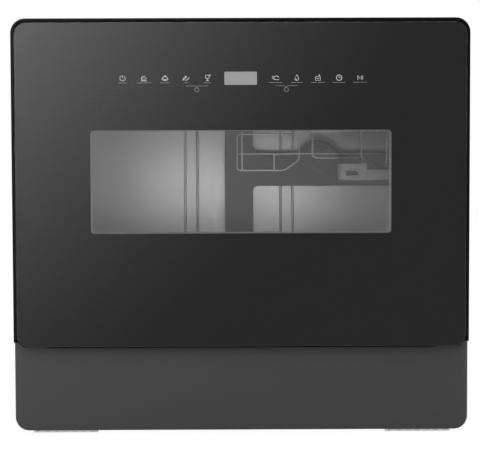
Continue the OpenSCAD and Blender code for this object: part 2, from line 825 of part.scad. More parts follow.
module arm_post() {
  low_z = pump_z + pump_r + 1;
  hub_z0 = arm_z - 2;
  hub_z1 = arm_z + arm_t + 4;
  color("darkgray") difference() {
    union() {
      bar_z(post_r, low_z, hub_z0 - seat, 0, arm_y);
      bar_z(post_r + 7, under_z - 3, under_z - play, 0, arm_y);
      bar_z(stub_r, hub_z0 - seat - eps, hub_z1 + seat, 0, arm_y);
      bar_z(stub_r + 4, hub_z1 + seat - eps, hub_z1 + 3, 0, arm_y);
    }
    bar_z(10 + seat, low_z - cut, low_z + 8, 0, arm_y);
    bar_z(5.5, low_z, arm_z + arm_t - 2, 0, arm_y);
  }
}

// Blade outline of a spray arm: tapered bars either side of the hub
module blade_plan(reach, root, tip) {
  for (s = [0, 180]) rotate([0, 0, s]) {
    polygon([[0, -root/2], [reach - tip/2, -tip/2], [reach - tip/2, tip/2], [0, root/2]]);
    translate([reach - tip/2, 0]) circle(tip/2);
  }
}

module lower_spray_arm() {
  hub_z0 = arm_z - 2;
  hub_z1 = arm_z + arm_t + 4;
  jets = [38, 66, 94, 120, 142];
  color("gray") difference() {
    union() {
      translate([0, arm_y, arm_z]) linear_extrude(arm_t) blade_plan(arm_r, 34, 20);
      bar_z(arm_hub, hub_z0, hub_z1, 0, arm_y);
      for (x = jets, s = [-1, 1]) bar_z(4.5, arm_z + arm_t - eps, arm_z + arm_t + 2, s*x, arm_y);
    }
    bar_z(stub_r + fit, hub_z0 - cut, hub_z1 + cut, 0, arm_y);
    for (x = jets, s = [-1, 1])
      block(s*x - 0.8, s*x + 0.8, arm_y - 3, arm_y + 3, arm_z + arm_t - 2, arm_z + arm_t + 3);
  }
}

module ceiling_feed() {
  hub_z0 = top_arm_z - 2;
  hub_z1 = top_arm_z + top_arm_t + 3;
  color("gray") difference() {
    union() {
      block(-15, 15, arm_y - 15, duct_y0 - seat, roof_z - 9.7, roof_z - seat);
      bar_z(14, hub_z1 + seat, roof_z - 9, 0, arm_y);
      bar_z(stub_r, hub_z0 - seat - eps, roof_z - 9, 0, arm_y);
      bar_z(stub_r + 4, hub_z0 - 3.5, hub_z0 - seat, 0, arm_y);
    }
    block(-12, 12, arm_y - 10, duct_y0, roof_z - 7.7, roof_z - 2.3);
    bar_z(5.5, hub_z0 + 1, roof_z - 6, 0, arm_y);
  }
}

module upper_spray_arm() {
  hub_z0 = top_arm_z - 2;
  hub_z1 = top_arm_z + top_arm_t + 3;
  jets = [34, 58, 80, 98];
  color("gray") difference() {
    union() {
      translate([0, arm_y, top_arm_z]) linear_extrude(top_arm_t)
        blade_plan(top_arm_r, 28, 18);
      bar_z(14, hub_z0, hub_z1, 0, arm_y);
    }
    bar_z(stub_r + fit, hub_z0 - cut, hub_z1 + cut, 0, arm_y);
    for (x = jets, s = [-1, 1])
      block(s*x - 0.8, s*x + 0.8, arm_y - 3, arm_y + 3, top_arm_z - cut, top_arm_z + 2);
  }
}

module flood_float() {
  color("white") {
    difference() {
      bar_z(14, floor_z + seat, floor_z + 11, float_x, float_y);
      bar_z(12, floor_z, floor_z + 9, float_x, float_y);
    }
    bar_z(4, under_z - 12, floor_z + 9 - weld, float_x, float_y);
  }
}

// ---- door ----

// Fixed bracket: a knuckle on the hinge axis, an arm over the plinth and a foot
// screwed to the front frame
module hinge_bracket(side) {
  half = notch_w/2 - 1;
  arm_t = 3;
  arm_low = 0.6;
  foot_t = 2.6;
  color("silver") difference() {
    union() {
      bar_x(knuckle_r, side*hinge_x - half, side*hinge_x + half, hinge_y, hinge_z);
      block(side*hinge_x - half, side*hinge_x + half, hinge_y, frame_y,
        hinge_z + arm_low, hinge_z + arm_low + arm_t);
      block(side*hinge_x - half, side*hinge_x + half, frame_y - foot_t, frame_y,
        hinge_z - 33, hinge_z + arm_low + eps);
    }
    bar_x(pin_r + fit, side*hinge_x - notch_w, side*hinge_x + notch_w, hinge_y, hinge_z);
    bracket_screws() bar_y(2 + fit, frame_y - 2*foot_t, frame_y + cut, 0, 0);
  }
}

module hinge_bracket_left() hinge_bracket(-1);
module hinge_bracket_right() hinge_bracket(1);

module hinge_pins() {
  half = notch_w/2 + cheek;
  color("silver") for (sx = [-1, 1])
    bar_x(pin_r, sx*hinge_x - half, sx*hinge_x + half, hinge_y, hinge_z);
}

// Outline of the door's body with its stepped lower edge, drawn in by d
module door_body(d, y0, y1) {
  lip_y = hinge_y + heel - d;
  slab(2*door_x - 2*d, door_z1 - hinge_z - step_up - 2*d, door_r - d, y0, y1,
    0, (door_z1 + hinge_z + step_up)/2);
  slab(2*door_x - 2*d, door_h - 2*d, door_r - d, y0, min(y1, lip_y), 0, door_zc);
}

module door_frame() {
  block_x = notch_w/2 + cheek;
  color([0.1, 0.1, 0.1]) difference() {
    door_body(0, skin_y, frame_y1);
    difference() {
      door_body(door_wall, skin_y + skin_t, frame_y1 + cut);
      for (sx = [-1, 1])
        block(sx*hinge_x - block_x, sx*hinge_x + block_x, skin_y, frame_y1 + 2*cut,
          door_z0, hinge_z + notch_up + cheek);
    }
    // notches for the brackets, and the bores of the pins
    for (sx = [-1, 1]) {
      block(sx*hinge_x - notch_w/2, sx*hinge_x + notch_w/2, skin_y - cut,
        frame_y1 + cut, door_z0 - cut, hinge_z + notch_up);
      bar_x(pin_r + fit, sx*hinge_x - block_x - cut, sx*hinge_x + block_x + cut,
        hinge_y, hinge_z);
    }
    slab(window_w + 10.4, window_h + 10.4, window_r + 5, skin_y - cut, frame_y1, 0, window_z);
    slab(display_w + 5, display_h + 5, 2, skin_y - cut, frame_y1, 0, controls_z);
  }
}

module front_glass() {
  color([0.05, 0.05, 0.06, 0.6])
    slab(2*door_x - 2*glass_lip, door_h - 2*glass_lip, glass_r, front_y, glass_y, 0, door_zc);
}

module print_mask() {
  color("black") difference() {
    slab(2*door_x - 2*glass_lip - 0.4, door_h - 2*glass_lip - 0.4, glass_r - 0.2, glass_y,
      skin_y, 0, door_zc);
    slab(window_w, window_h, window_r, glass_y - cut, skin_y + cut, 0, window_z);
    slab(display_w, display_h, 1, glass_y - cut, skin_y + cut, 0, controls_z);
  }
}

// Sheet liner in three planes, each welded from strips: the flange, the walls
// of the raised part, and its face round the window and the dispenser
module inner_door_liner() {
  raise_h = raise_z1 - raise_z0;
  raise_zc = (raise_z1 + raise_z0)/2;
  face_y = liner_y1 - liner_t;
  side_x = raise_x - raise_r;
  window_x = window_w/2 - window_r;
  low_z = window_z - window_h/2 - 1;
  hole_x0 = disp_x0() + 4;
  hole_x1 = disp_x1() - 4;
  hole_z0 = disp_z() - disp_h/2 + 4;
  hole_z1 = disp_z() + disp_h/2 - 4;
  color("silver") {
    difference() {
      slab(2*door_x - 2, liner_z1 - liner_z0, 8, frame_y1, liner_f, 0,
        (liner_z1 + liner_z0)/2);
      slab(2*raise_x - 2*liner_t, raise_h - 2*liner_t, raise_r - liner_t, frame_y1 - cut,
        liner_f + cut, 0, raise_zc);
      for (sx = [-1, 1])
        block(sx*hinge_x - notch_w/2, sx*hinge_x + notch_w/2, frame_y1 - cut,
          liner_f + cut, liner_z0 - cut, hinge_z + notch_up);
      for (z = [raise_z0 + liner_t, raise_z1 - liner_t])
        block(-door_x, door_x, frame_y1 - cut, liner_f + cut, z - weld/2, z + weld/2);
    }
    difference() {
      slab(2*raise_x, raise_h, raise_r, liner_f + weld, face_y - weld, 0, raise_zc);
      slab(2*raise_x - 2*liner_t, raise_h - 2*liner_t, raise_r - liner_t, frame_y1, face_y,
        0, raise_zc);
      for (sx = [-1, 1])
        block(sx*side_x - weld/2, sx*side_x + weld/2, frame_y1, face_y, raise_z0 - cut,
          raise_z1 + cut);
    }
    difference() {
      slab(2*raise_x, raise_h, raise_r, face_y, liner_y1, 0, raise_zc);
      slab(window_w + 2, window_h + 2, window_r + 1, face_y - cut, liner_y1 + cut, 0,
        window_z);
      block(hole_x0, hole_x1, face_y - cut, liner_y1 + cut, hole_z0, hole_z1);
      for (sx = [-1, 1])
        block(sx*window_x - weld/2, sx*window_x + weld/2, face_y - cut, liner_y1 + cut,
          raise_z0 - cut, raise_z1 + cut);
      block(-window_x, window_x, face_y - cut, liner_y1 + cut, hole_z0 - weld, hole_z0);
      for (x = [hole_x0 - weld, hole_x1])
        block(x, x + weld, face_y - cut, liner_y1 + cut, hole_z0 - cut, low_z + cut);
    }
  }
}

module window_inner_pane() {
  color([0.6, 0.65, 0.68, 0.4])
    slab(window_w + 20, window_h + 20, window_r + 6, liner_y1 - liner_t - pane_t,
      liner_y1 - liner_t, 0, window_z);
}

module window_gasket() {
  gasket_y1 = liner_y1 - liner_t - pane_t - play;
  color("darkgray") difference() {
    slab(window_w + 9.6, window_h + 9.6, window_r + 4, skin_y + play, gasket_y1, 0, window_z);
    slab(window_w + 2, window_h + 2, window_r + 1, skin_y, gasket_y1 + cut, 0, window_z);
  }
}

module display_module() {
  color("lightgray") {
    slab(display_w + 3, display_h + 3, 1, skin_y + play, skin_y + skin_t + eps, 0, controls_z);
    block(-display_w/2 - 3, display_w/2 + 3, skin_y + skin_t, board_y(),
      controls_z - display_h/2 - 3, controls_z + display_h/2 + 3);
  }
}

function board_y() = skin_y + skin_t + 2;

module touch_board() {
  pads = 5;
  pad_x = 36.9;
  pad_pitch = 22.95;
  color("darkgreen") {
    block(-board_w/2, board_w/2, board_y(), board_y() + 1.6, controls_z - board_h/2,
      controls_z + board_h/2);
    for (sx = [-1, 1], i = [0:pads - 1])
      bar_y(5, skin_y + skin_t + seat, board_y() + eps, sx*(pad_x + i*pad_pitch), controls_z);
    for (sx = [-1, 1]) block(sx*90 - 12, sx*90 + 12, board_y() + 1.6 - eps,
      board_y() + 6, controls_z - 8, controls_z + 8);
  }
}

// The dispenser in the liner, under the window
disp_h = 60;
disp_lid_w = 64;
disp_lid_h = 46;
disp_slide = 50;
function disp_z() = window_z - window_h/2 - 44;
function disp_x0() = -124;
function disp_x1() = 62;
function disp_cup_x() = disp_x0() + 10 + disp_lid_w/2;
function disp_face() = liner_y1 + 2;
function rinse_x() = disp_x1() - 24;
function button_x() = rinse_x() - 27;

module detergent_dispenser() {
  deep = 27;
  cup_w = disp_lid_w - 6;
  cup_h = disp_lid_h - 6;
  color("whitesmoke") difference() {
    union() {
      block(disp_x0(), disp_x1(), liner_y1, disp_face(), disp_z() - disp_h/2,
        disp_z() + disp_h/2);
      block(disp_x0() + 5, disp_x1() - 5, liner_y1 - deep, liner_y1 + eps,
        disp_z() - disp_h/2 + 5, disp_z() + disp_h/2 - 5);
      for (s = [-1, 1])
        block(disp_x0() + 8, disp_x0() + 12 + disp_lid_w + disp_slide, disp_face() - eps,
          disp_face() + 2.4, disp_z() + s*(disp_lid_h/2 + 1.7) - 1.2,
          disp_z() + s*(disp_lid_h/2 + 1.7) + 1.2);
    }
    block(disp_cup_x() - cup_w/2, disp_cup_x() + cup_w/2, liner_y1 - deep + 5,
      disp_face() + cut, disp_z() - cup_h/2, disp_z() + cup_h/2);
    bar_y(8 + fit, disp_face() - 12, disp_face() + cut, rinse_x(), disp_z());
    bar_y(5 + seat, disp_face() - 9, disp_face() + cut, button_x(), disp_z());
  }
}

module dispenser_lid() {
  y0 = disp_face() + seat;
  color("lightgray") {
    block(disp_cup_x() - disp_lid_w/2, disp_cup_x() + disp_lid_w/2, y0, y0 + 2,
      disp_z() - disp_lid_h/2, disp_z() + disp_lid_h/2);
    for (i = [0:3]) block(disp_cup_x() + 10 + i*4, disp_cup_x() + 11.5 + i*4, y0 + 2 - eps,
      y0 + 2.8, disp_z() - 12, disp_z() + 12);
  }
}

module dispenser_button() {
  color("dimgray") bar_y(5, disp_face() - 6, disp_face() + 2.4, button_x(), disp_z());
}

module rinse_cap() {
  color("dimgray") {
    bar_y(8, disp_face() - 10, disp_face() + seat + eps, rinse_x(), disp_z());
    bar_y(14, disp_face() + seat, disp_face() + 2.2, rinse_x(), disp_z());
    block(rinse_x() - 1.5, rinse_x() + 1.5, disp_face() + 2.2 - eps, disp_face() + 3,
      disp_z() - 11, disp_z() + 11);
  }
}

module door_striker() {
  half = 9;
  y1 = frame_y + 7;
  color("silver") difference() {
    union() {
      block(-half, half, liner_f, y1, striker_z(), striker_z() + 4.3);
      block(-half - 8, half + 8, liner_f, liner_f + 1.6, striker_z() - 1.2, striker_z() + 2.8);
    }
    block(-4, 4, y1 - 8, y1 - 3, striker_z() - cut, striker_z() + 6);
  }
}

// Catch in the casing's top: a box round the striker's slot, with the lever's pivot
lever_x = 16;
function lever_y() = frame_y + sheet + 25;
catch_z0 = roof_z + tub_t + play;
catch_z1 = in_z - play;

module latch_housing() {
  y0 = frame_y + sheet;
  y1 = y0 + latch_d;
  color("black") {
    difference() {
      block(-18, 24, y0, y1, catch_z0 + 1.2, catch_z1);
      block(-13, 20.5, y0 - cut, y1 - 2, catch_z0 + 3, catch_z1 - 1.6);
    }
    bar_z(2, catch_z0 + 2.4, catch_z1 - 1, lever_x, lever_y());
  }
}

module latch_lever() {
  z0 = catch_z0 + 3 + seat;
  z1 = catch_z1 - 1.6 - seat;
  y0 = frame_y + 4;
  color("whitesmoke") difference() {
    union() {
      bar_z(4, z0, z1, lever_x, lever_y());
      block(lever_x - 4, lever_x - 1, y0, lever_y(), z0, z1);
      bar_z(2, z0, z1, lever_x - 4.4, y0 + 2);
    }
    bar_z(2 + fit, z0 - cut, z1 + cut, lever_x, lever_y());
  }
}

// ---- baskets ----

// Lower basket, welded from flat grids of straight wire: a floor and four sides, with
// tines and legs set on the floor's wires
module lower_basket() {
  rows = 9;
  row_pitch = basket_d/rows;
  cross_z = basket_z + 2*wire_r - 0.4;
  loop_r = wire_r + 0.5;
  end_in = wire_r + weld;
  tine_lean = 6;
  color([0.5, 0.51, 0.52]) {
    for (i = [-wire_n:wire_n])
      wire([i*wire_pitch, basket_y0 + end_in, basket_z],
        [i*wire_pitch, basket_y1 - end_in, basket_z], wire_r);
    for (j = [1:rows - 1])
      wire([-basket_x + end_in, basket_y0 + j*row_pitch, cross_z],
        [basket_x - end_in, basket_y0 + j*row_pitch, cross_z], wire_r);
    for (y = [basket_y0, basket_y1]) {
      for (i = [-wire_n:wire_n])
        wire([i*wire_pitch, y, basket_z - wire_r], [i*wire_pitch, y, rim_z], wire_r);
      for (z = [rim_z, basket_z + basket_h/2])
        wire([-basket_x - loop_r, y, z], [basket_x + loop_r, y, z], loop_r);
    }
    for (x = [-basket_x, basket_x]) {
      for (j = [1:rows - 1])
        wire([x, basket_y0 + j*row_pitch, cross_z - wire_r],
          [x, basket_y0 + j*row_pitch, rim_z], wire_r);
      for (z = [rim_z, basket_z + basket_h/2])
        wire([x, basket_y0 + loop_r + weld, z], [x, basket_y1 - loop_r - weld, z], loop_r);
    }
    // plate tines
    for (x = [-1.5, 2.5], j = [3:rows - 1])
      wire([x*wire_pitch, basket_y0 + j*row_pitch, cross_z + wire_r + seat],
        [x*wire_pitch, basket_y0 + j*row_pitch + tine_lean, rim_z - 1], wire_r);
    // legs with the roller axles
    for (sx = [-1, 1], sy = [-1, 1]) {
      y = basket_yc + sy*roller_y;
      block(sx*leg_x - 1.5, sx*leg_x + 1.5, y - 7, y + 7, roller_z - 6,
        basket_z - wire_r - weld);
      bar_x(axle_r, min(sx*leg_x, sx*(leg_x + roller_w + 4)),
        max(sx*leg_x, sx*(leg_x + roller_w + 4)), y, roller_z);
      bar_x(axle_r + 1.5, min(sx*(leg_x + roller_w + 2.8), sx*(leg_x + roller_w + 4.2)),
        max(sx*(leg_x + roller_w + 2.8), sx*(leg_x + roller_w + 4.2)), y, roller_z);
    }
  }
}

module roller(sx, sy) {
  x0 = leg_x + 2.2;
  y = basket_yc + sy*roller_y;
  color("whitesmoke") difference() {
    bar_x(roller_r, min(sx*x0, sx*(x0 + roller_w)), max(sx*x0, sx*(x0 + roller_w)), y,
      roller_z);
    bar_x(axle_r + fit, min(sx*(x0 - cut), sx*(x0 + roller_w + cut)),
      max(sx*(x0 - cut), sx*(x0 + roller_w + cut)), y, roller_z);
    for (a = [0:60:359]) translate([0, y, roller_z]) rotate([a, 0, 0])
      bar_x(1.8, min(sx*(x0 + 3), sx*(x0 + roller_w + cut)),
        max(sx*(x0 + 3), sx*(x0 + roller_w + cut)), 0, roller_r*0.6);
  }
}

module roller_front_left() roller(-1, -1);
module roller_front_right() roller(1, -1);
module roller_rear_left() roller(-1, 1);
module roller_rear_right() roller(1, 1);

// Cutlery basket of open cells, standing on the lower basket's floor
module cutlery_basket() {
  cells = 4;
  cell = 36;
  w = 56;
  side = 2;
  x0 = -basket_x + 5;
  y0 = basket_y0 + 10;
  z0 = basket_z + 3*wire_r - 0.4 + seat;
  z1 = rim_z + 14;
  color([0.42, 0.43, 0.44]) difference() {
    block(x0, x0 + w, y0, y0 + cells*cell + side, z0, z1);
    for (i = [0:cells - 1]) {
      block(x0 + side, x0 + w - side, y0 + side + i*cell, y0 + (i + 1)*cell, z0 + side,
        z1 + cut);
      for (k = [0:3])
        block(x0 - cut, x0 + w + cut, y0 + 6 + i*cell + k*8, y0 + 10 + i*cell + k*8,
          z0 + 8, z1 - 12);
    }
  }
}

// Cup rack: a front and a back wire frame, joined by wires along its depth, drawn from
// its free end. A wire that ends inside another one is a little thinner than it.
floor_x = 51;                             // end of the left bay's floor
bay_end = 68;                             // end of the left bay
bay_x = 84;                               // start of the right bay
rack_post = 142;                          // end of the right bay's floor
rack_right = rack_w - 28;                 // last upright before the pivot
module rack_frame(y) {
  low_r = rack_low + 5;
  thin = rack_r - 0.1;
  for (rail = [[0, rack_right, rack_top], [0, rack_w, rack_mid], [0, floor_x, rack_low],
      [bay_x + 5, rack_post, rack_step]])
    wire([rail[0], y, rail[2]], [rail[1], y, rail[2]], rack_r);
  for (up = [[0, rack_top, rack_low], [38, rack_mid, rack_low], [bay_end, rack_top, rack_low + 12],
      [bay_x, rack_top, rack_mid], [rack_post, rack_top, rack_low],
      [rack_right, rack_top, low_r]])
    wire([up[0], y, up[1]], [up[0], y, up[2]], thin);
  for (slope = [[floor_x, rack_low, bay_end, rack_low + 12],
      [rack_right, low_r, rack_post, rack_low], [bay_x, rack_mid, bay_x + 5, rack_step],
      [rack_post, rack_step, rack_post + 12, rack_step - 6]])
    wire([slope[0], y, slope[1]], [slope[2], y, slope[3]], thin);
  for (bend = [[0, rack_top], [0, rack_low], [floor_x, rack_low], [bay_end, rack_low + 12],
      [rack_right, rack_top], [rack_right, low_r], [rack_post, rack_low],
      [bay_x + 5, rack_step]])
    translate([bend[0], y, bend[1]]) sphere(r = rack_r + 0.05, $fn = 20);
}

module cup_rack() {
  along_r = rack_r - 0.2;
  color("silver") translate([rack_x, 0, 0]) difference() {
    union() {
      rack_frame(rack_y0);
      rack_frame(rack_y1);
      for (x = [0, bay_end, rack_post, rack_right])
        wire([x, rack_y0, rack_top], [x, rack_y1, rack_top], along_r);
      for (i = [0:3]) wire([i*floor_x/3, rack_y0, rack_low], [i*floor_x/3, rack_y1, rack_low],
        along_r);
      for (x = [bay_x + 5, bay_x + 23, bay_x + 41, rack_post])
        wire([x, rack_y0, rack_step], [x, rack_y1, rack_step], along_r);
      for (y = [rack_y0, rack_y1]) bar_y(5, y - 3, y + 3, rack_w, pivot_z);
    }
    bar_y(pivot_r + fit, rack_y0 - 10, rack_y1 + 10, rack_w, pivot_z);
  }
}

module cup_rack_bracket() {
  plate_x0 = tub_xi - 3.2;
  plate_x1 = tub_xi - seat;
  y0 = rack_y0 - 14;
  y1 = rack_y1 + 14;
  color("lightgray") {
    block(plate_x0, plate_x1, y0, y1, pivot_z - 36, pivot_z + 16);
    for (y = [rack_y0 - 7, rack_y1 + 4])
      block(pivot_x - 4.5, plate_x0 + eps, y, y + 3, pivot_z - 5, pivot_z + 5);
    bar_y(pivot_r, rack_y0 - 7, rack_y1 + 7, pivot_x, pivot_z);
  }
}

// Pale comb-like holder in front of the rack, carried by its wall bracket
module utensil_holder() {
  z1 = rack_top - 36;
  z0 = z1 - 19;
  x0 = pivot_x - 89;
  x1 = tub_xi - 3.2 - play;
  y0 = rack_y0 - 32;
  y1 = rack_y0 - 14 - play;
  teeth = 5;
  color("gainsboro") difference() {
    union() {
      slab(x1 - x0, z1 - z0, 4, y0, y0 + 5, (x0 + x1)/2, (z0 + z1)/2);
      block(x1 - 5, x1, y0 + 5 - eps, rack_y0, z0 + 4, z1);
    }
    slab(16, 6, 1, y0 - cut, y0 + 6, x0 + 17, z0 + 8);
    for (i = [0:teeth - 1])
      block(x0 - cut, x0 + 3.5, y0 - cut, y0 + 6, z0 + 3 + i*3.2, z0 + 4.4 + i*3.2);
    block(x0 + 34, x1 - 18, y0 - cut, y0 + 6, z1 - 7, z1 + cut);
  }
}

cabinet_wrap();
rear_panel();
base_tray();
plinth_panel();
front_frame();
tub();
insulation_felt();
door_seal();
bottom_seal();
sump();
filter_cup();
filter_plate();
softener_tank();
salt_cap();
wash_pump();
wash_impeller();
drain_pump();
drain_impeller();
flow_heater();
inlet_valve();
drain_spigot();
lead_gland();
control_box();
air_break();
wall_duct();
nozzle_head();
arm_post();
lower_spray_arm();
ceiling_feed();
upper_spray_arm();
hinge_bracket_left();
hinge_bracket_right();
hinge_pins();
door_frame();
front_glass();
print_mask();
inner_door_liner();
window_inner_pane();
window_gasket();
display_module();
touch_board();
detergent_dispenser();
dispenser_lid();
dispenser_button();
rinse_cap();
door_striker();
latch_housing();
latch_lever();
lower_basket();
roller_front_left();
roller_front_right();
roller_rear_left();
roller_rear_right();
cutlery_basket();
cup_rack();
cup_rack_bracket();
utensil_holder();
flood_float();
feet();
rear_screws();
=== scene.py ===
"""Countertop dishwasher: casing, glass door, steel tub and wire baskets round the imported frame."""
import json
import math

import bmesh
import bpy
from mathutils import Matrix, Vector

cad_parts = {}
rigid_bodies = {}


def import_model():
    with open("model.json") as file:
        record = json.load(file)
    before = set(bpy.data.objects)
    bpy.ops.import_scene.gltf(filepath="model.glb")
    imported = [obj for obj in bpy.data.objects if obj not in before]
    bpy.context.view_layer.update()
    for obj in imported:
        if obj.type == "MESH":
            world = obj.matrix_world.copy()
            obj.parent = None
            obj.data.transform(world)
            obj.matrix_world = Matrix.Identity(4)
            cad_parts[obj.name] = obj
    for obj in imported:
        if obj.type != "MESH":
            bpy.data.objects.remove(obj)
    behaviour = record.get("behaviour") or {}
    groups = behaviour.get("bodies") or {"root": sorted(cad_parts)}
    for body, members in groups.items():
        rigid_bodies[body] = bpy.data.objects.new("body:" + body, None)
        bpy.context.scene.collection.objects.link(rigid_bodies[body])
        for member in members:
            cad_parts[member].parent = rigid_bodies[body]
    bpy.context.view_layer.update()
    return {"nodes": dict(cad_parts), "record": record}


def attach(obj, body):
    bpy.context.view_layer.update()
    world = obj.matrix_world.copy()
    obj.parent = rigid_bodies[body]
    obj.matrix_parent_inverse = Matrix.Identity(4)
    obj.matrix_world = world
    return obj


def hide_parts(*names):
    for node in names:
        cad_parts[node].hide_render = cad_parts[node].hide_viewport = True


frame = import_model()
record = frame["record"]
MM = 0.001
BODY_OF = {node: body for body, nodes in record["behaviour"]["bodies"].items() for node in nodes}
SLOT_OF = {part["node"]: part["material_slot"] for part in record["subparts"]}


# ---- shared node groups ----

def start_group(name, inputs, outputs):
    """An empty shader group with named sockets, and its input and output nodes."""
    tree = bpy.data.node_groups.new(name, "ShaderNodeTree")
    for label, kind, value in inputs:
        socket = tree.interface.new_socket(label, in_out="INPUT", socket_type=kind)
        socket.default_value = value
    for label, kind in outputs:
        tree.interface.new_socket(label, in_out="OUTPUT", socket_type=kind)
    return tree, tree.nodes.new("NodeGroupInput"), tree.nodes.new("NodeGroupOutput")


def add_node(tree, kind, **settings):
    node = tree.nodes.new(kind)
    for key, value in settings.items():
        setattr(node, key, value)
    return node


def set_inputs(node, **values):
    for key, value in values.items():
        node.inputs[key.replace("_", " ")].default_value = value
    return node


def maths(tree, operation, first, second):
    """A Math node on two sockets or numbers."""
    node = add_node(tree, "ShaderNodeMath", operation=operation)
    for socket, value in zip(node.inputs, (first, second)):
        if isinstance(value, (int, float)):
            socket.default_value = value
        else:
            tree.links.new(value, socket)
    return node.outputs[0]


def spread_round(tree, pattern, centre, spread):
    """centre + (pattern - 0.5) * spread"""
    return maths(tree, "ADD", centre,
                 maths(tree, "MULTIPLY", maths(tree, "SUBTRACT", pattern, 0.5), spread))


def tone_drift_group():
    """Slow change of tone over a piece, as moulded and rolled surfaces have."""
    tree, start, end = start_group(
        "tone_drift",
        [("Color", "NodeSocketColor", (0.5, 0.5, 0.5, 1)), ("Scale", "NodeSocketFloat", 9.0),
         ("Drift", "NodeSocketFloat", 0.1)],
        [("Color", "NodeSocketColor")])
    place = add_node(tree, "ShaderNodeTexCoord")
    noise = set_inputs(add_node(tree, "ShaderNodeTexNoise"), Detail=3.0, Roughness=0.6)
    tree.links.new(place.outputs["Object"], noise.inputs["Vector"])
    tree.links.new(start.outputs["Scale"], noise.inputs["Scale"])
    level = spread_round(tree, noise.outputs["Fac"], 1.0, start.outputs["Drift"])
    scaled = add_node(tree, "ShaderNodeVectorMath", operation="SCALE")
    tree.links.new(start.outputs["Color"], scaled.inputs[0])
    tree.links.new(level, scaled.inputs["Scale"])
    tree.links.new(scaled.outputs[0], end.inputs["Color"])
    return tree


def moulded_skin_group():
    """Fine pitted skin of an injection mould, with patches that are handled smoother."""
    tree, start, end = start_group(
        "moulded_skin",
        [("Scale", "NodeSocketFloat", 900.0), ("Rough", "NodeSocketFloat", 0.45),
         ("Spread", "NodeSocketFloat", 0.12)],
        [("Roughness", "NodeSocketFloat"), ("Height", "NodeSocketFloat")])
    place = add_node(tree, "ShaderNodeTexCoord")
    pits = set_inputs(add_node(tree, "ShaderNodeTexNoise"), Detail=2.0, Roughness=0.5)
    patches = set_inputs(add_node(tree, "ShaderNodeTexNoise"), Scale=14.0, Detail=4.0,
                         Roughness=0.65)
    for noise in (pits, patches):
        tree.links.new(place.outputs["Object"], noise.inputs["Vector"])
    tree.links.new(start.outputs["Scale"], pits.inputs["Scale"])
    rough = spread_round(tree, patches.outputs["Fac"], start.outputs["Rough"],
                         start.outputs["Spread"])
    tree.links.new(rough, end.inputs["Roughness"])
    tree.links.new(pits.outputs["Fac"], end.inputs["Height"])
    return tree


def brushed_lines_group():
    """Long fine scratches along one direction of a rolled or brushed sheet."""
    tree, start, end = start_group(
        "brushed_lines",
        [("Stretch", "NodeSocketVector", (40.0, 40.0, 2500.0)),
         ("Rough", "NodeSocketFloat", 0.3), ("Spread", "NodeSocketFloat", 0.1)],
        [("Roughness", "NodeSocketFloat"), ("Height", "NodeSocketFloat")])
    place = add_node(tree, "ShaderNodeTexCoord")
    stretched = add_node(tree, "ShaderNodeVectorMath", operation="MULTIPLY")
    tree.links.new(place.outputs["Object"], stretched.inputs[0])
    tree.links.new(start.outputs["Stretch"], stretched.inputs[1])
    lines = set_inputs(add_node(tree, "ShaderNodeTexNoise"), Scale=1.0, Detail=4.0,
                       Roughness=0.55)
    tree.links.new(stretched.outputs[0], lines.inputs["Vector"])
    rough = spread_round(tree, lines.outputs["Fac"], start.outputs["Rough"],
                         start.outputs["Spread"])
    tree.links.new(rough, end.inputs["Roughness"])
    tree.links.new(lines.outputs["Fac"], end.inputs["Height"])
    return tree


def fibre_group():
    """Tangled fibres of needled felt."""
    tree, start, end = start_group(
        "felt_fibres",
        [("Scale", "NodeSocketFloat", 300.0)],
        [("Mask", "NodeSocketFloat"), ("Height", "NodeSocketFloat")])
    place = add_node(tree, "ShaderNodeTexCoord")
    wave = set_inputs(add_node(tree, "ShaderNodeTexNoise"), Detail=6.0, Roughness=0.75,
                      Distortion=2.5)
    cells = add_node(tree, "ShaderNodeTexVoronoi", feature="DISTANCE_TO_EDGE")
    for texture in (wave, cells):
        tree.links.new(place.outputs["Object"], texture.inputs["Vector"])
        tree.links.new(start.outputs["Scale"], texture.inputs["Scale"])
    tree.links.new(wave.outputs["Fac"], end.inputs["Mask"])
    tree.links.new(maths(tree, "ADD", wave.outputs["Fac"], cells.outputs["Distance"]),
                   end.inputs["Height"])
    return tree


TONE_DRIFT = tone_drift_group()
MOULDED_SKIN = moulded_skin_group()
BRUSHED_LINES = brushed_lines_group()
FELT_FIBRES = fibre_group()


# ---- materials ----

def start_material(name):
    material = bpy.data.materials.new(name)
    material.use_nodes = True
    shader = material.node_tree.nodes["Principled BSDF"]
    return material, material.node_tree, shader


def use_group(tree, group, **values):
    node = add_node(tree, "ShaderNodeGroup", node_tree=group)
    return set_inputs(node, **values)


def add_bump(tree, shader, height, strength, distance):
    bump = set_inputs(add_node(tree, "ShaderNodeBump"), Strength=strength, Distance=distance)
    tree.links.new(height, bump.inputs["Height"])
    tree.links.new(bump.outputs["Normal"], shader.inputs["Normal"])


def moulded(name, colour, rough, grain=1100.0, depth=0.25, drift=0.10, spread=0.10,
            specular=0.5):
    """Moulded plastic or rubber: pitted skin, patches of smoother handling, drifting tone."""
    material, tree, shader = start_material(name)
    tone = use_group(tree, TONE_DRIFT, Color=(*colour, 1), Scale=11.0, Drift=drift)
    skin = use_group(tree, MOULDED_SKIN, Scale=grain, Rough=rough, Spread=spread)
    tree.links.new(tone.outputs["Color"], shader.inputs["Base Color"])
    tree.links.new(skin.outputs["Roughness"], shader.inputs["Roughness"])
    shader.inputs["Specular IOR Level"].default_value = specular
    add_bump(tree, shader, skin.outputs["Height"], depth, 0.05*MM)
    return material


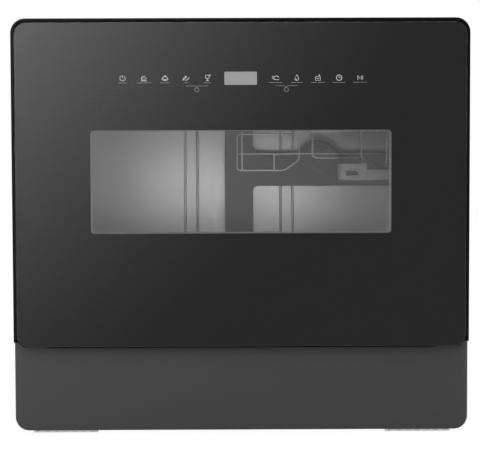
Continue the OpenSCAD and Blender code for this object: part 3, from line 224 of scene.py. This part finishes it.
def brushed(name, colour, rough, stretch, depth=0.2, drift=0.06, spread=0.12):
    """Rolled or brushed sheet metal, its lines along the axis with the smallest stretch."""
    material, tree, shader = start_material(name)
    tone = use_group(tree, TONE_DRIFT, Color=(*colour, 1), Scale=6.0, Drift=drift)
    lines = use_group(tree, BRUSHED_LINES, Stretch=stretch, Rough=rough, Spread=spread)
    tree.links.new(tone.outputs["Color"], shader.inputs["Base Color"])
    tree.links.new(lines.outputs["Roughness"], shader.inputs["Roughness"])
    shader.inputs["Metallic"].default_value = 1.0
    add_bump(tree, shader, lines.outputs["Height"], depth, 0.02*MM)
    return material


def show_mixed(tree, factor, first, second, output):
    """The output node shows the first shader where factor is 0 and the second where it is 1."""
    mix = add_node(tree, "ShaderNodeMixShader")
    for socket, value in zip(mix.inputs, (factor, first.outputs[0], second.outputs[0])):
        tree.links.new(value, socket)
    tree.links.new(mix.outputs[0], tree.nodes[output].inputs["Surface"])


def pane_glass(name, tint, ior):
    """Flat clear or smoked glass that lets the lamps through."""
    material, tree, shader = start_material(name)
    tone = use_group(tree, TONE_DRIFT, Color=(*tint, 1), Scale=2.0, Drift=0.02)
    tree.links.new(tone.outputs["Color"], shader.inputs["Base Color"])
    set_inputs(shader, Roughness=0.0, IOR=ior, Transmission_Weight=1.0)
    clear = add_node(tree, "ShaderNodeBsdfTransparent")
    clear.inputs["Color"].default_value = (*tint, 1)
    path = add_node(tree, "ShaderNodeLightPath")
    show_mixed(tree, path.outputs["Is Shadow Ray"], shader, clear, "Material Output")
    return material


def print_with_painted_glow(name, colour, strength):
    """Print or film with a painted glow: white emission brightens it, with no lamp behind it."""
    material = moulded(name, colour, 0.5, grain=2500.0, depth=0.05, drift=0.05)
    shader = material.node_tree.nodes["Principled BSDF"]
    # painted glow: the print gives off light of its own
    shader.inputs["Emission Color"].default_value = (1, 1, 1, 1)
    shader.inputs["Emission Strength"].default_value = strength
    return material


def felt_material():
    material, tree, shader = start_material("felt")
    fibres = use_group(tree, FELT_FIBRES, Scale=420.0)
    tones = add_node(tree, "ShaderNodeMix", data_type="RGBA")
    tones.inputs["A"].default_value = (0.045, 0.045, 0.05, 1)
    tones.inputs["B"].default_value = (0.14, 0.14, 0.15, 1)
    tree.links.new(fibres.outputs["Mask"], tones.inputs["Factor"])
    tree.links.new(tones.outputs["Result"], shader.inputs["Base Color"])
    set_inputs(shader, Roughness=0.95, Sheen_Weight=0.4)
    add_bump(tree, shader, fibres.outputs["Height"], 0.9, 1.2*MM)
    return material


MATERIALS = {
    "casing_plastic": moulded("casing_plastic", (0.005, 0.005, 0.0052), 0.42, depth=0.1,
                              drift=0.25, specular=0.07),
    "plinth_plastic": moulded("plinth_plastic", (0.032, 0.032, 0.032), 0.55, depth=0.1,
                              specular=0.25),
    "door_plastic": moulded("door_plastic", (0.003, 0.003, 0.0032), 0.45, depth=0.1,
                            specular=0.05),
    "print_black": moulded("print_black", (0.006, 0.006, 0.0065), 0.5, grain=3000.0,
                           depth=0.0, specular=0.1),
    "smoked_glass": pane_glass("smoked_glass", (0.62, 0.62, 0.62), 1.45),
    "clear_glass": pane_glass("clear_glass", (0.94, 0.94, 0.94), 1.3),
    "tub_steel": brushed("tub_steel", (0.62, 0.62, 0.62), 0.35, (900.0, 900.0, 14.0)),
    "zinc_steel": brushed("zinc_steel", (0.50, 0.51, 0.52), 0.42, (700.0, 700.0, 60.0),
                          drift=0.25),
    "chrome_wire": brushed("chrome_wire", (0.70, 0.70, 0.70), 0.35, (500.0, 500.0, 500.0)),
    "coated_wire": moulded("coated_wire", (0.33, 0.34, 0.35), 0.35, depth=0.1),
    "seal_rubber": moulded("seal_rubber", (0.03, 0.03, 0.03), 0.7, grain=700.0),
    "foot_rubber": moulded("foot_rubber", (0.80, 0.80, 0.79), 0.75, grain=700.0),
    "felt": felt_material(),
    "grey_plastic": moulded("grey_plastic", (0.10, 0.10, 0.10), 0.45),
    "duct_plastic": moulded("duct_plastic", (0.300, 0.300, 0.300), 0.5),
    "white_plastic": moulded("white_plastic", (0.62, 0.62, 0.60), 0.42, drift=0.05),
    "pale_plastic": moulded("pale_plastic", (0.45, 0.45, 0.45), 0.42, drift=0.05),
    "motor_black": moulded("motor_black", (0.03, 0.03, 0.03), 0.5),
    "valve_blue": moulded("valve_blue", (0.05, 0.12, 0.40), 0.4),
    # display, signs and captions: print with a painted glow, emission in place of light
    "display_grey": print_with_painted_glow("display_grey", (0.38, 0.38, 0.38), 0.18),
    "board_green": moulded("board_green", (0.02, 0.12, 0.04), 0.3),
    "sign_print": print_with_painted_glow("sign_print", (0.60, 0.60, 0.60), 0.85),
    # a grey line printed round the window: painted highlight on the edge of the inner pane
    "painted_highlight_print": moulded("painted_highlight_print", (0.16, 0.16, 0.16), 0.4, grain=2500.0, depth=0.02),
    "caption_print": print_with_painted_glow("caption_print", (0.30, 0.30, 0.30), 0.12),
}


# ---- making pieces ----

SMOOTH_BELOW, BEVEL_ABOVE, FLAT_BELOW, STRAIGHT_ABOVE = (
    math.radians(a) for a in (35.0, 40, 0.6, 178))
MERGE_MM = 0.002


def smooth_by_angle(bm):
    for face in bm.faces:
        face.smooth = True
    for edge in bm.edges:
        edge.smooth = len(edge.link_faces) == 2 and edge.calc_face_angle(0.0) < SMOOTH_BELOW


def finish_piece(bm, name, body, slot, replaced=(), edge=0.0, segments=2):
    """Object of a bmesh, at the origin, riding on a body, with rounded edges."""
    smooth_by_angle(bm)
    mesh = bpy.data.meshes.new(name)
    bm.to_mesh(mesh)
    bm.free()
    return finish_mesh(mesh, name, body, slot, replaced, edge, segments)


def finish_mesh(mesh, name, body, slot, replaced=(), edge=0.0, segments=2):
    """Object of a mesh, at the origin, riding on a body, with rounded edges."""
    piece = bpy.data.objects.new(name, mesh)
    bpy.context.scene.collection.objects.link(piece)
    mesh.materials.clear()
    mesh.materials.append(MATERIALS[slot])
    if edge:
        bevel = piece.modifiers.new("rounded_edges", "BEVEL")
        bevel.width = edge*MM
        bevel.segments = segments
        bevel.limit_method = "ANGLE"
        bevel.angle_limit = BEVEL_ABOVE
        bevel.harden_normals = True
        bevel.use_clamp_overlap = True
    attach(piece, body)
    if replaced:
        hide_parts(*replaced)
    return piece


def softened(node, edge, segments=2):
    """A copy of a CAD node, merged, with its flat faces whole and its edges rounded."""
    bm = bmesh.new()
    bm.from_mesh(frame["nodes"][node].data)
    bmesh.ops.remove_doubles(bm, verts=bm.verts, dist=MERGE_MM*MM)
    bmesh.ops.dissolve_limit(bm, angle_limit=FLAT_BELOW, verts=bm.verts, edges=bm.edges)
    return finish_piece(bm, node + "_shown", BODY_OF[node], SLOT_OF[node], [node], edge,
                        segments)


def rounded_path(points, radius, steps=6):
    """The points of a path with its corners turned into arcs of one radius or a list of radii."""
    points = [Vector(p) for p in points]
    radii = radius if isinstance(radius, list) else [radius]*(len(points) - 2)
    path = [points[0]]
    for before, corner, after, wanted in zip(points, points[1:], points[2:], radii):
        a, b = (before - corner), (after - corner)
        reach = min(wanted, 0.49*a.length, 0.49*b.length)
        if wanted <= 0 or a.angle(b) > STRAIGHT_ABOVE:
            path.append(corner)
            continue
        start, stop = corner + a.normalized()*reach, corner + b.normalized()*reach
        for i in range(steps + 1):
            t = i/steps
            path.append(start*(1 - t)**2 + corner*2*t*(1 - t) + stop*t**2)
    return path + [points[-1]]


def wire_mesh(name, paths, sides=10):
    """One mesh of round wires. A path is (points, wire radius, bend radius, closed), in mm."""
    curve = bpy.data.curves.new(name, "CURVE")
    curve.dimensions = "3D"
    curve.bevel_depth = MM
    curve.bevel_resolution = (sides - 4)//2
    curve.use_fill_caps = True
    for points, radius, bend, closed in paths:
        path = rounded_path(points, bend)
        spline = curve.splines.new("POLY")
        spline.points.add(len(path) - 1)
        for point, place in zip(spline.points, path):
            point.co = (*(place*MM), 1.0)
            point.radius = radius
        spline.use_cyclic_u = closed
    helper = bpy.data.objects.new(name + "_path", curve)
    bpy.context.scene.collection.objects.link(helper)
    bpy.context.view_layer.update()
    mesh = bpy.data.meshes.new_from_object(
        helper.evaluated_get(bpy.context.evaluated_depsgraph_get()))
    bpy.data.objects.remove(helper)
    bpy.data.curves.remove(curve)
    mesh.shade_smooth()
    return mesh


def sheet(bm, outlines, y0, y1, edge=0.2):
    """A plate with holes added to a bmesh. An outline is (corners in x and z, radius or radii)."""
    curve = bpy.data.curves.new("sheet", "CURVE")
    curve.dimensions = "2D"
    curve.fill_mode = "BOTH"
    curve.extrude = ((y1 - y0)/2 - edge)*MM
    curve.bevel_depth = edge*MM
    curve.bevel_resolution = 1
    curve.offset = -edge*MM
    for corners, radius in outlines:
        middle = [(a + b)/2 for a, b in zip(corners[0], corners[-1])]
        path = rounded_path([(x, z, 0) for x, z in [middle] + corners + [middle]], radius)
        spline = curve.splines.new("POLY")
        spline.points.add(len(path) - 2)
        for point, place in zip(spline.points, path):
            point.co = (*(place*MM), 1.0)
        spline.use_cyclic_u = True
    helper = bpy.data.objects.new("sheet_path", curve)
    bpy.context.scene.collection.objects.link(helper)
    bpy.context.view_layer.update()
    mesh = bpy.data.meshes.new_from_object(
        helper.evaluated_get(bpy.context.evaluated_depsgraph_get()))
    mesh.transform(Matrix.Translation((0, (y0 + y1)/2*MM, 0)) @
                   Matrix.Rotation(math.pi/2, 4, "X"))
    bm.from_mesh(mesh)
    for leftover, store in ((helper, bpy.data.objects), (curve, bpy.data.curves),
                            (mesh, bpy.data.meshes)):
        store.remove(leftover)


def block(bm, x0, x1, y0, y1, z0, z1):
    """A box added to a bmesh, in mm."""
    made = bmesh.ops.create_cube(bm, size=1.0)["verts"]
    bmesh.ops.scale(bm, vec=((x1 - x0)*MM, (y1 - y0)*MM, (z1 - z0)*MM), verts=made)
    bmesh.ops.translate(bm, vec=((x0 + x1)/2*MM, (y0 + y1)/2*MM, (z0 + z1)/2*MM), verts=made)


def rod(bm, radius, length, turned_about, middle, segments):
    """A round bar added to a bmesh, in mm. Turned about Y it lies along X, about X along Y."""
    made = bmesh.ops.create_cone(bm, cap_ends=True, segments=segments, radius1=radius*MM,
                                 radius2=radius*MM, depth=length*MM)["verts"]
    bmesh.ops.rotate(bm, cent=(0, 0, 0), matrix=Matrix.Rotation(math.pi/2, 3, turned_about),
                     verts=made)
    bmesh.ops.translate(bm, vec=[part*MM for part in middle], verts=made)


def oblong(x0, x1, z0, z1):
    """Corners of an upright oblong in x and z."""
    return [(x0, z0), (x1, z0), (x1, z1), (x0, z1)]


def arc(x, z, radius, start, stop, steps=20):
    """Points of an upright arc in x and z, angles in degrees."""
    turns = [math.radians(start + (stop - start)*i/steps) for i in range(steps + 1)]
    return [(x + radius*math.cos(a), z + radius*math.sin(a)) for a in turns]


# ---- casing and door ----

EDGES = {
    "cabinet_wrap": 0.8, "rear_panel": 0.4, "base_tray": 0.8, "plinth_panel": 1.0,
    "front_frame": 0.3, "sump": 0.8, "filter_cup": 0.6, "filter_plate": 0.15,
    "softener_tank": 1.5, "salt_cap": 0.8, "wash_pump": 1.2, "drain_pump": 1.0,
    "wash_impeller": 0.2, "drain_impeller": 0.2, "flow_heater": 0.5, "inlet_valve": 0.5,
    "drain_spigot": 0.3, "lead_gland": 0.8, "control_box": 1.2, "air_break": 1.2,
    "wall_duct": 1.0, "nozzle_head": 0.5, "arm_post": 0.6, "lower_spray_arm": 1.2,
    "ceiling_feed": 0.8, "upper_spray_arm": 1.0, "hinge_bracket_left": 0.3,
    "hinge_bracket_right": 0.3, "hinge_pins": 0.3, "door_frame": 0.3, "front_glass": 0.4,
    "window_inner_pane": 0.3, "window_gasket": 0.6,
    "detergent_dispenser": 0.5, "dispenser_lid": 0.4, "dispenser_button": 0.5,
    "rinse_cap": 0.5, "door_striker": 0.3, "latch_housing": 0.6, "latch_lever": 0.4,
    "roller_front_left": 0.7, "roller_front_right": 0.7, "roller_rear_left": 0.7,
    "roller_rear_right": 0.7, "cutlery_basket": 0.35, "cup_rack_bracket": 0.4,
    "utensil_holder": 0.6, "flood_float": 0.8, "feet": 0.5, "rear_screws": 0.2,
    "door_seal": 1.2, "bottom_seal": 1.0, "insulation_felt": 1.5, "tub": 0.3,
    "display_module": 0.2, "touch_board": 0.2,
}
THREE_STEPS_FROM = 0.6
for node, edge in EDGES.items():
    softened(node, edge, 3 if edge >= THREE_STEPS_FROM else 2)


# ---- door liner: flange, walls of the raised part, and its face ----

FLANGE_X, FLANGE_Z0, FLANGE_Z1 = 245.4, 103, 447
HINGE_NOTCHES = [(-236, 103), (-236, 113), (-212, 113), (-212, 103),
                 (212, 103), (212, 113), (236, 113), (236, 103)]
RAISED = (oblong(-205, 205, 132, 424), 10)
HOLLOW = (oblong(-204, 204, 133, 423), 9)
WINDOW_HOLE = (oblong(-164.5, 164.5, 220.1, 334.5), 5)
DISPENSER_HOLE = (oblong(-120, 58, 151.1, 203.1), 1)
FLANGE_Y, WALL_Y, FACE_Y, LINER_END_Y = -210.5, -209.5, -197.5, -196.5
FLANGE = ([(-FLANGE_X, FLANGE_Z0)] + HINGE_NOTCHES
          + [(FLANGE_X, FLANGE_Z0), (FLANGE_X, FLANGE_Z1), (-FLANGE_X, FLANGE_Z1)],
          [4.0] + [1.0]*8 + [4.0, 8.0, 8.0])
bm = bmesh.new()
sheet(bm, [FLANGE, HOLLOW], FLANGE_Y, WALL_Y)
sheet(bm, [RAISED, HOLLOW], WALL_Y, FACE_Y, 0.01)
sheet(bm, [RAISED, WINDOW_HOLE, DISPENSER_HOLE], FACE_Y, LINER_END_Y, 0.3)
finish_piece(bm, "door_liner", "door", SLOT_OF["inner_door_liner"], ["inner_door_liner"])


# ---- baskets ----

BASKET_X, BASKET_Y0, BASKET_Y1 = 194.0, -176.0, 150.0
BASKET_Z, RIM_Z, PITCH, WIRE, BEND = 149.5, 190.5, 35.4, 1.5, 9
CROSS_Z = BASKET_Z + 2*WIRE - 0.4
ROWS, TINE_ROW = 9, 3
ROW_PITCH = (BASKET_Y1 - BASKET_Y0)/ROWS
TINE_LEAN = 6
LEG_Y, LEG_Z, LEG_HALF_X, LEG_HALF_Y = (-128, 102), 124.3, 1.5, 7
AXLE_Z, AXLE_R, AXLE_REACH, AXLE_HEAD_R, AXLE_HEAD = 130.3, 2.5, 10.2, 4.0, 1.4


def basket_paths():
    """Wires of the rolling basket: floor wires, cross wires, rim loops and plate tines."""
    paths = []
    for i in range(-5, 6):
        x = i*PITCH
        paths.append(([(x, BASKET_Y0, RIM_Z), (x, BASKET_Y0, BASKET_Z),
                       (x, BASKET_Y1, BASKET_Z), (x, BASKET_Y1, RIM_Z)], WIRE, BEND, False))
    for j in range(1, ROWS):
        y = BASKET_Y0 + j*ROW_PITCH
        paths.append(([(-BASKET_X, y, RIM_Z), (-BASKET_X, y, CROSS_Z), (BASKET_X, y, CROSS_Z),
                       (BASKET_X, y, RIM_Z)], WIRE, BEND, False))
    for z in (RIM_Z, BASKET_Z + (RIM_Z - BASKET_Z)/2):
        loop = [(0, BASKET_Y0, z), (BASKET_X, BASKET_Y0, z), (BASKET_X, BASKET_Y1, z),
                (-BASKET_X, BASKET_Y1, z), (-BASKET_X, BASKET_Y0, z), (-0.2, BASKET_Y0, z)]
        paths.append((loop, WIRE + 0.5, 3, True))
    for x in (-1.5*PITCH, 2.5*PITCH):
        for j in range(TINE_ROW, ROWS):
            y = BASKET_Y0 + j*ROW_PITCH
            paths.append(([(x, y, CROSS_Z), (x, y + TINE_LEAN, RIM_Z - 1)], WIRE, 0, False))
    return paths


finish_mesh(wire_mesh("basket_wires", basket_paths()), "basket_wires", "basket",
            "coated_wire", ["lower_basket"])

bm = bmesh.new()
for side in (-1, 1):
    for y in LEG_Y:
        x = side*5*PITCH
        block(bm, x - LEG_HALF_X, x + LEG_HALF_X, y - LEG_HALF_Y, y + LEG_HALF_Y, LEG_Z, BASKET_Z)
        outer = side*(5*PITCH + AXLE_REACH)
        for radius, x0, x1 in ((AXLE_R, x, outer), (AXLE_HEAD_R, outer - side*AXLE_HEAD, outer)):
            rod(bm, radius, abs(x1 - x0), "Y", ((x0 + x1)/2, y, AXLE_Z), 24)
finish_piece(bm, "basket_legs", "basket", "coated_wire", ["lower_basket"], 0.4)

RACK_Y0, RACK_Y1 = -40.0, 80.0
RACK_WIRE = 1.0
RACK_FALL, FALL_FROM_Z = 0.0548, 363.9
PIVOT_X, PIVOT_Z = 204, 302
HUB_X, HUB_R, HUB_LENGTH = 203.9, 5, 6


def rack_point(x, y, z):
    """A point of the cup rack, whose rear end is wider and lower than its front end."""
    fall = RACK_FALL if y > RACK_Y0 else 0.0
    return min(x*(1 + fall), PIVOT_X), y, z - fall*(FALL_FROM_Z - z)


def rack_end(y, left):
    """Wires of one end frame of the cup rack; the runs are in x and z."""
    runs = [([(80, 325.3), (left, 325.3), (left, 282.3), (53, 282.3), (71, 295), (71, 327)], 4),
            ([(left, PIVOT_Z), (PIVOT_X, PIVOT_Z)], 0),
            ([(41, PIVOT_Z), (41, 282.3)], 0),
            ([(84, 329), (177.5, 329), (177.5, 324)], 2),
            ([(87, 329), (87, 299), (92, 297), (141, 297)], 4),
            ([(145, 329), (145, 298), (151, 293.5), (174, 288)], 4),
            ([(139.7, 281.6), (175.5, 284.5), (175.5, 329)], 3)]
    return [([rack_point(x, y, z) for x, z in run], RACK_WIRE, bend, False)
            for run, bend in runs]


rack_wires = rack_end(RACK_Y0, 2.6) + rack_end(RACK_Y1, -2.4)
for x, z in ((3, 327), (71, 327), (145, 329), (175.5, 327), (3, 283), (20, 282.3),
             (37, 282.3), (53, 283), (92, 297), (110, 297), (128, 297), (141, 297)):
    rack_wires.append(([rack_point(x, RACK_Y0, z), rack_point(x, RACK_Y1, z)], RACK_WIRE, 0,
                       False))
finish_mesh(wire_mesh("rack_wires", rack_wires), "rack_wires", "cup_rack", "chrome_wire",
            ["cup_rack"])

bm = bmesh.new()
for y in (RACK_Y0, RACK_Y1):
    rod(bm, HUB_R, HUB_LENGTH, "X", (HUB_X, y, PIVOT_Z), 32)
finish_piece(bm, "rack_hubs", "cup_rack", "chrome_wire", ["cup_rack"], 0.5)

# raised part-rings on the nozzle head in pale plastic: the rims are shape, their pale colour on part
# arcs is painted highlight
NOZZLE_X, NOZZLE_Y, NOZZLE_Z, RING_R = 103.5, 149.4, 284, 0.7
glint_rings = [([(x, NOZZLE_Y, z) for x, z in arc(NOZZLE_X, NOZZLE_Z, radius, start, stop, 40)],
          RING_R, 0, False)
         for radius, start, stop in ((25.5, 5, 105), (21, 5, 60), (9, 205, 285))]
finish_mesh(wire_mesh("nozzle_painted_glints", glint_rings, 6), "nozzle_painted_glints", "casing", "pale_plastic")


# ---- touch signs, printed on the back of the glass ----

SIGN_Y, SIGN_Z, SIGN_SHIFT = -236.86, 389.8, 0.9
SIGN_STEP, SIGN_FIRST = 22.95, 36.9
SIGN_SIZE, STROKE, CAPTION_STROKE, HOLD_STROKE, HIGHLIGHT_STROKE = 1.06, 0.18, 0.25, 0.18, 0.35
CAPTION_Z, HOLD_Z = SIGN_Z - 5.0, SIGN_Z - 8.5
# outline of the painted highlight round the window
HIGHLIGHT_X, HIGHLIGHT_Z0, HIGHLIGHT_Z1, HIGHLIGHT_R = 158.4, 226.1, 328.4, 4.4

POWER = [arc(0, 0, 2.7, 125, 415), [(0, 0.5), (0, 3.3)]]
STEAMING_POT = [[(-2.7, 0.5), (2.7, 0.5), (1.9, -1.7), (-1.9, -1.7), (-2.7, 0.5)],
                [(-3.0, -2.7), (3.0, -2.7)], [(-1.1, 1.3), (-0.6, 2.0), (-1.1, 2.8)],
                [(0.9, 1.3), (1.4, 2.0), (0.9, 2.8)]]
COVERED_DISH = [arc(0, -0.9, 2.7, 0, 180), [(-3.4, -1.1), (3.4, -1.1)],
                [(-2.3, -2.3), (2.3, -2.3)], arc(0, 2.2, 0.5, 0, 360)]
LEAF = [arc(0.9, -2.1, 4.0, 90, 165) + arc(-0.9, 1.9, 4.0, 270, 345),
        [(-3.6, -2.6), (-2.9, -1.1), (0.6, 0.7)]]
STEM_GLASS = [arc(0, 1.3, 1.9, 180, 360) + [(1.6, 3.0), (-1.6, 3.0), (-1.9, 1.3)],
              [(0, -0.6), (0, -2.5)], [(-1.5, -2.7), (1.5, -2.7)], arc(2.7, 2.9, 0.4, 0, 360)]
QUICK_DISH = [arc(0.8, -0.6, 2.6, 20, 200), [(-1.8, -1.7), (3.4, -1.7)],
              [(-3.6, 1.0), (-2.0, 1.6)], [(-3.8, -0.3), (-2.4, 0.0)]]
DROP = [[(0, 3.0), (-1.7, 0.3)] + arc(0, -0.6, 1.9, 150, 390) + [(0, 3.0)],
        arc(0, -0.6, 0.9, 200, 290)]
CLEAN_TUB = [[(-2.5, 0.9), (-2.5, -2.6), (2.5, -2.6), (2.5, 0.9), (-2.5, 0.9)],
             [(-1.3, -0.9), (1.3, -0.9)], [(1.2, 1.7), (1.2, 3.3)], [(0.4, 2.5), (2.0, 2.5)]]
CLOCK = [arc(0, 0, 2.8, 0, 360), [(0, 1.8), (0, 0), (1.4, 0)]]
PLAY_PAUSE = [[(-2.8, 1.9), (-2.8, -1.9), (0, 0), (-2.8, 1.9)], [(1.0, 1.9), (1.0, -1.9)],
              [(2.5, 1.9), (2.5, -1.9)]]
SIGNS_LEFT = (STEM_GLASS, LEAF, COVERED_DISH, STEAMING_POT, POWER)
SIGNS_RIGHT = (QUICK_DISH, DROP, CLEAN_TUB, CLOCK, PLAY_PAUSE)
CAPTIONS_LEFT = (7, 4, 11, 16, 10)
CAPTIONS_RIGHT = (14, 12, 15, 14, 15)
DASHES = ((0, 0.42), (0.5, 0.78), (0.84, 1))
HOLD_MARKS, HOLD_LINE, HOLD_TIP = (-47.4, 49.4), (2.0, 12.0), 0.9
HOLD_RING_DROP, HOLD_RING_R, HOLD_RING_STROKE = 4.2, 2.3, 0.22
PRINT_FLATTENED = 0.15


def printed(name, strokes, slot):
    """Flat print behind the glass: strokes are (points in x and z, stroke radius)."""
    mesh = wire_mesh(name, [([(x, SIGN_Y, z) for x, z in points], radius, 0, False)
                            for points, radius in strokes], 8)
    flat = Matrix.Translation((0, SIGN_Y*MM, 0)) @ Matrix.Scale(PRINT_FLATTENED, 4, (0, 1, 0))
    mesh.transform(flat @ Matrix.Translation((0, -SIGN_Y*MM, 0)))
    return finish_mesh(mesh, name, "door", slot)


# grey line round the window, behind the glass: a painted highlight where the inner pane's edge
# catches light
corners = [(-HIGHLIGHT_X, HIGHLIGHT_Z1, 90, 180), (-HIGHLIGHT_X, HIGHLIGHT_Z0, 180, 270),
           (HIGHLIGHT_X, HIGHLIGHT_Z0, 270, 360), (HIGHLIGHT_X, HIGHLIGHT_Z1, 0, 90)]
highlight_outline = [point for x, z, start, stop in corners for point in arc(x, z, HIGHLIGHT_R, start, stop, 8)]
printed("window_edge_painted_highlight", [(highlight_outline + highlight_outline[:1], HIGHLIGHT_STROKE)], "painted_highlight_print")

signs, captions = [], []
for side, row, widths in ((-1, SIGNS_LEFT, CAPTIONS_LEFT), (1, SIGNS_RIGHT, CAPTIONS_RIGHT)):
    for i, (sign, width) in enumerate(zip(row, widths)):
        x = side*(SIGN_FIRST + i*SIGN_STEP) + SIGN_SHIFT
        signs += [([(x + a*SIGN_SIZE, SIGN_Z + b*SIGN_SIZE) for a, b in stroke], STROKE)
                  for stroke in sign]
        for start, stop in DASHES:
            captions.append(([(x + (start - 0.5)*width, CAPTION_Z),
                              (x + (stop - 0.5)*width, CAPTION_Z)], CAPTION_STROKE))
for x in HOLD_MARKS:
    for side in (-1, 1):
        captions.append(([(x + side*reach, HOLD_Z) for reach in HOLD_LINE], HOLD_STROKE))
    captions.append(([(x - HOLD_LINE[0], HOLD_Z), (x, HOLD_Z - HOLD_TIP),
                      (x + HOLD_LINE[0], HOLD_Z)], HOLD_STROKE))
    captions.append((arc(x, HOLD_Z - HOLD_RING_DROP, HOLD_RING_R, 0, 360), HOLD_RING_STROKE))
printed("touch_signs", signs, "sign_print")
printed("sign_captions", captions, "caption_print")

for node, shown in frame["nodes"].items():
    shown.data.materials.clear()
    shown.data.materials.append(MATERIALS[SLOT_OF[node]])


# ---- studio ----

def add_area(name, place, target, width, height, power):
    """Soft rectangular lamp at place, facing target, that the camera doesn't see."""
    lamp = bpy.data.lights.new(name, "AREA")
    lamp.shape = "RECTANGLE"
    lamp.size, lamp.size_y = width, height
    lamp.energy = power
    holder = bpy.data.objects.new(name, lamp)
    bpy.context.scene.collection.objects.link(holder)
    holder.location = place
    holder.rotation_euler = (Vector(target) - Vector(place)).to_track_quat("-Z", "Y").to_euler()
    holder.visible_camera = False


add_area("key_softbox", (-1.4, -2.0, 1.1), (0, 0, 0.25), 1.4, 1.4, 26)
add_area("fill_softbox", (1.8, -1.5, 0.8), (0, 0, 0.25), 1.2, 1.2, 12)
add_area("top_softbox", (0, 0.2, 2.2), (0, 0, 0.3), 1.8, 1.8, 22)
add_area("rear_softbox", (0.3, 2.0, 1.2), (0, 0, 0.3), 1.4, 1.2, 20)
add_area("tub_lamp", (-0.004, -0.170, 0.238), (-0.004, 0.18, 0.242), 0.27, 0.03, 0.135)

world = bpy.data.worlds.new("studio")
bpy.context.scene.world = world
world.use_nodes = True
tree = world.node_tree
soft = tree.nodes["Background"]
soft.inputs["Color"].default_value = (1, 1, 1, 1)
soft.inputs["Strength"].default_value = 0.6
white = add_node(tree, "ShaderNodeBackground")
white.inputs["Color"].default_value = (1, 1, 1, 1)
white.inputs["Strength"].default_value = 1.0
path = add_node(tree, "ShaderNodeLightPath")
seen = maths(tree, "MAXIMUM", path.outputs["Is Camera Ray"],
             maths(tree, "MAXIMUM", path.outputs["Is Glossy Ray"],
                   path.outputs["Is Transmission Ray"]))
show_mixed(tree, seen, soft, white, "World Output")

FLOOR_GLOW, FLOOR_GLOW_SHARE = 1.03, 0.92


def floor_material():
    """Pale paint that the camera sees close to white."""
    material, tree, shader = start_material("floor_paint")
    tone = use_group(tree, TONE_DRIFT, Color=(0.86, 0.86, 0.86, 1), Scale=2.0, Drift=0.01)
    tree.links.new(tone.outputs["Color"], shader.inputs["Base Color"])
    set_inputs(shader, Roughness=0.9, Specular_IOR_Level=0.1)
    glow = set_inputs(add_node(tree, "ShaderNodeEmission"), Strength=FLOOR_GLOW)
    path = add_node(tree, "ShaderNodeLightPath")
    show_mixed(tree, maths(tree, "MULTIPLY", path.outputs["Is Camera Ray"], FLOOR_GLOW_SHARE),
               shader, glow, "Material Output")
    return material


bm = bmesh.new()
bmesh.ops.create_grid(bm, x_segments=4, y_segments=4, size=4.0)
mesh = bpy.data.meshes.new("floor")
bm.to_mesh(mesh)
bm.free()
mesh.materials.append(floor_material())
floor = bpy.data.objects.new("floor", mesh)
bpy.context.scene.collection.objects.link(floor)

CARD_Y, CARD_Z, CARD_MIDDLE_X, CARD_MIDDLE_Z = -0.90, 1.003, -1.289, 1.319
CARD_BASE, CARD_PEAK, CARD_BRIGHT_TO, CARD_FADED_AT = 0.57, 2.054, 1.19, 1.812


def card_material():
    """Soft light that fades from the upper left to the lower right, as it shows in the glass."""
    material = bpy.data.materials.new("studio_card")
    material.use_nodes = True
    tree = material.node_tree
    tree.nodes.remove(tree.nodes["Principled BSDF"])
    place = add_node(tree, "ShaderNodeTexCoord")
    offset = add_node(tree, "ShaderNodeVectorMath", operation="DISTANCE")
    tree.links.new(place.outputs["Object"], offset.inputs[0])
    offset.inputs[1].default_value = (CARD_MIDDLE_X, CARD_Y, CARD_MIDDLE_Z)
    fade = add_node(tree, "ShaderNodeMapRange")
    tree.links.new(offset.outputs["Value"], fade.inputs["Value"])
    set_inputs(fade, From_Min=CARD_BRIGHT_TO, From_Max=CARD_FADED_AT, To_Min=CARD_PEAK,
               To_Max=0.0)
    squared = maths(tree, "MULTIPLY", fade.outputs["Result"], fade.outputs["Result"])
    glow = add_node(tree, "ShaderNodeEmission")
    tree.links.new(maths(tree, "ADD", squared, CARD_BASE), glow.inputs["Strength"])
    tree.links.new(glow.outputs[0], tree.nodes["Material Output"].inputs["Surface"])
    return material


bm = bmesh.new()
bmesh.ops.create_grid(bm, x_segments=2, y_segments=2, size=1.0,
                      matrix=Matrix.Translation((0, CARD_Y, CARD_Z)) @
                      Matrix.Rotation(math.pi/2, 4, "X"))
mesh = bpy.data.meshes.new("studio_card")
bm.to_mesh(mesh)
bm.free()
mesh.materials.append(card_material())
card = bpy.data.objects.new("studio_card", mesh)
bpy.context.scene.collection.objects.link(card)
for kind in ("camera", "diffuse", "shadow", "transmission", "volume_scatter"):
    setattr(card, "visible_" + kind, False)


# ---- camera ----

FOCAL_PX, IMAGE_PX, SENSOR = 1832.9, 480, 36.0
CAMERA_PLACE = (-0.013, -2.228, 0.3639)
YAW, PITCH_DOWN, ROLL = (math.radians(a) for a in (0.339, 3.856, -0.181))
camera_data = bpy.data.cameras.new("camera")
camera_data.sensor_fit = "HORIZONTAL"
camera_data.sensor_width = SENSOR
camera_data.lens = SENSOR*FOCAL_PX/IMAGE_PX
camera_data.clip_end = 50
camera = bpy.data.objects.new("camera", camera_data)
bpy.context.scene.collection.objects.link(camera)
ahead = Vector((math.sin(YAW)*math.cos(PITCH_DOWN), math.cos(YAW)*math.cos(PITCH_DOWN),
                -math.sin(PITCH_DOWN)))
level = Vector((math.cos(YAW), -math.sin(YAW), 0))
rise = level.cross(ahead)
right = level*math.cos(ROLL) + rise*math.sin(ROLL)
up = rise*math.cos(ROLL) - level*math.sin(ROLL)
turn = Matrix((right, up, -ahead)).transposed()
camera.matrix_world = Matrix.Translation(CAMERA_PLACE) @ turn.to_4x4()
bpy.context.scene.camera = camera
bpy.context.scene.view_settings.view_transform = "Standard"
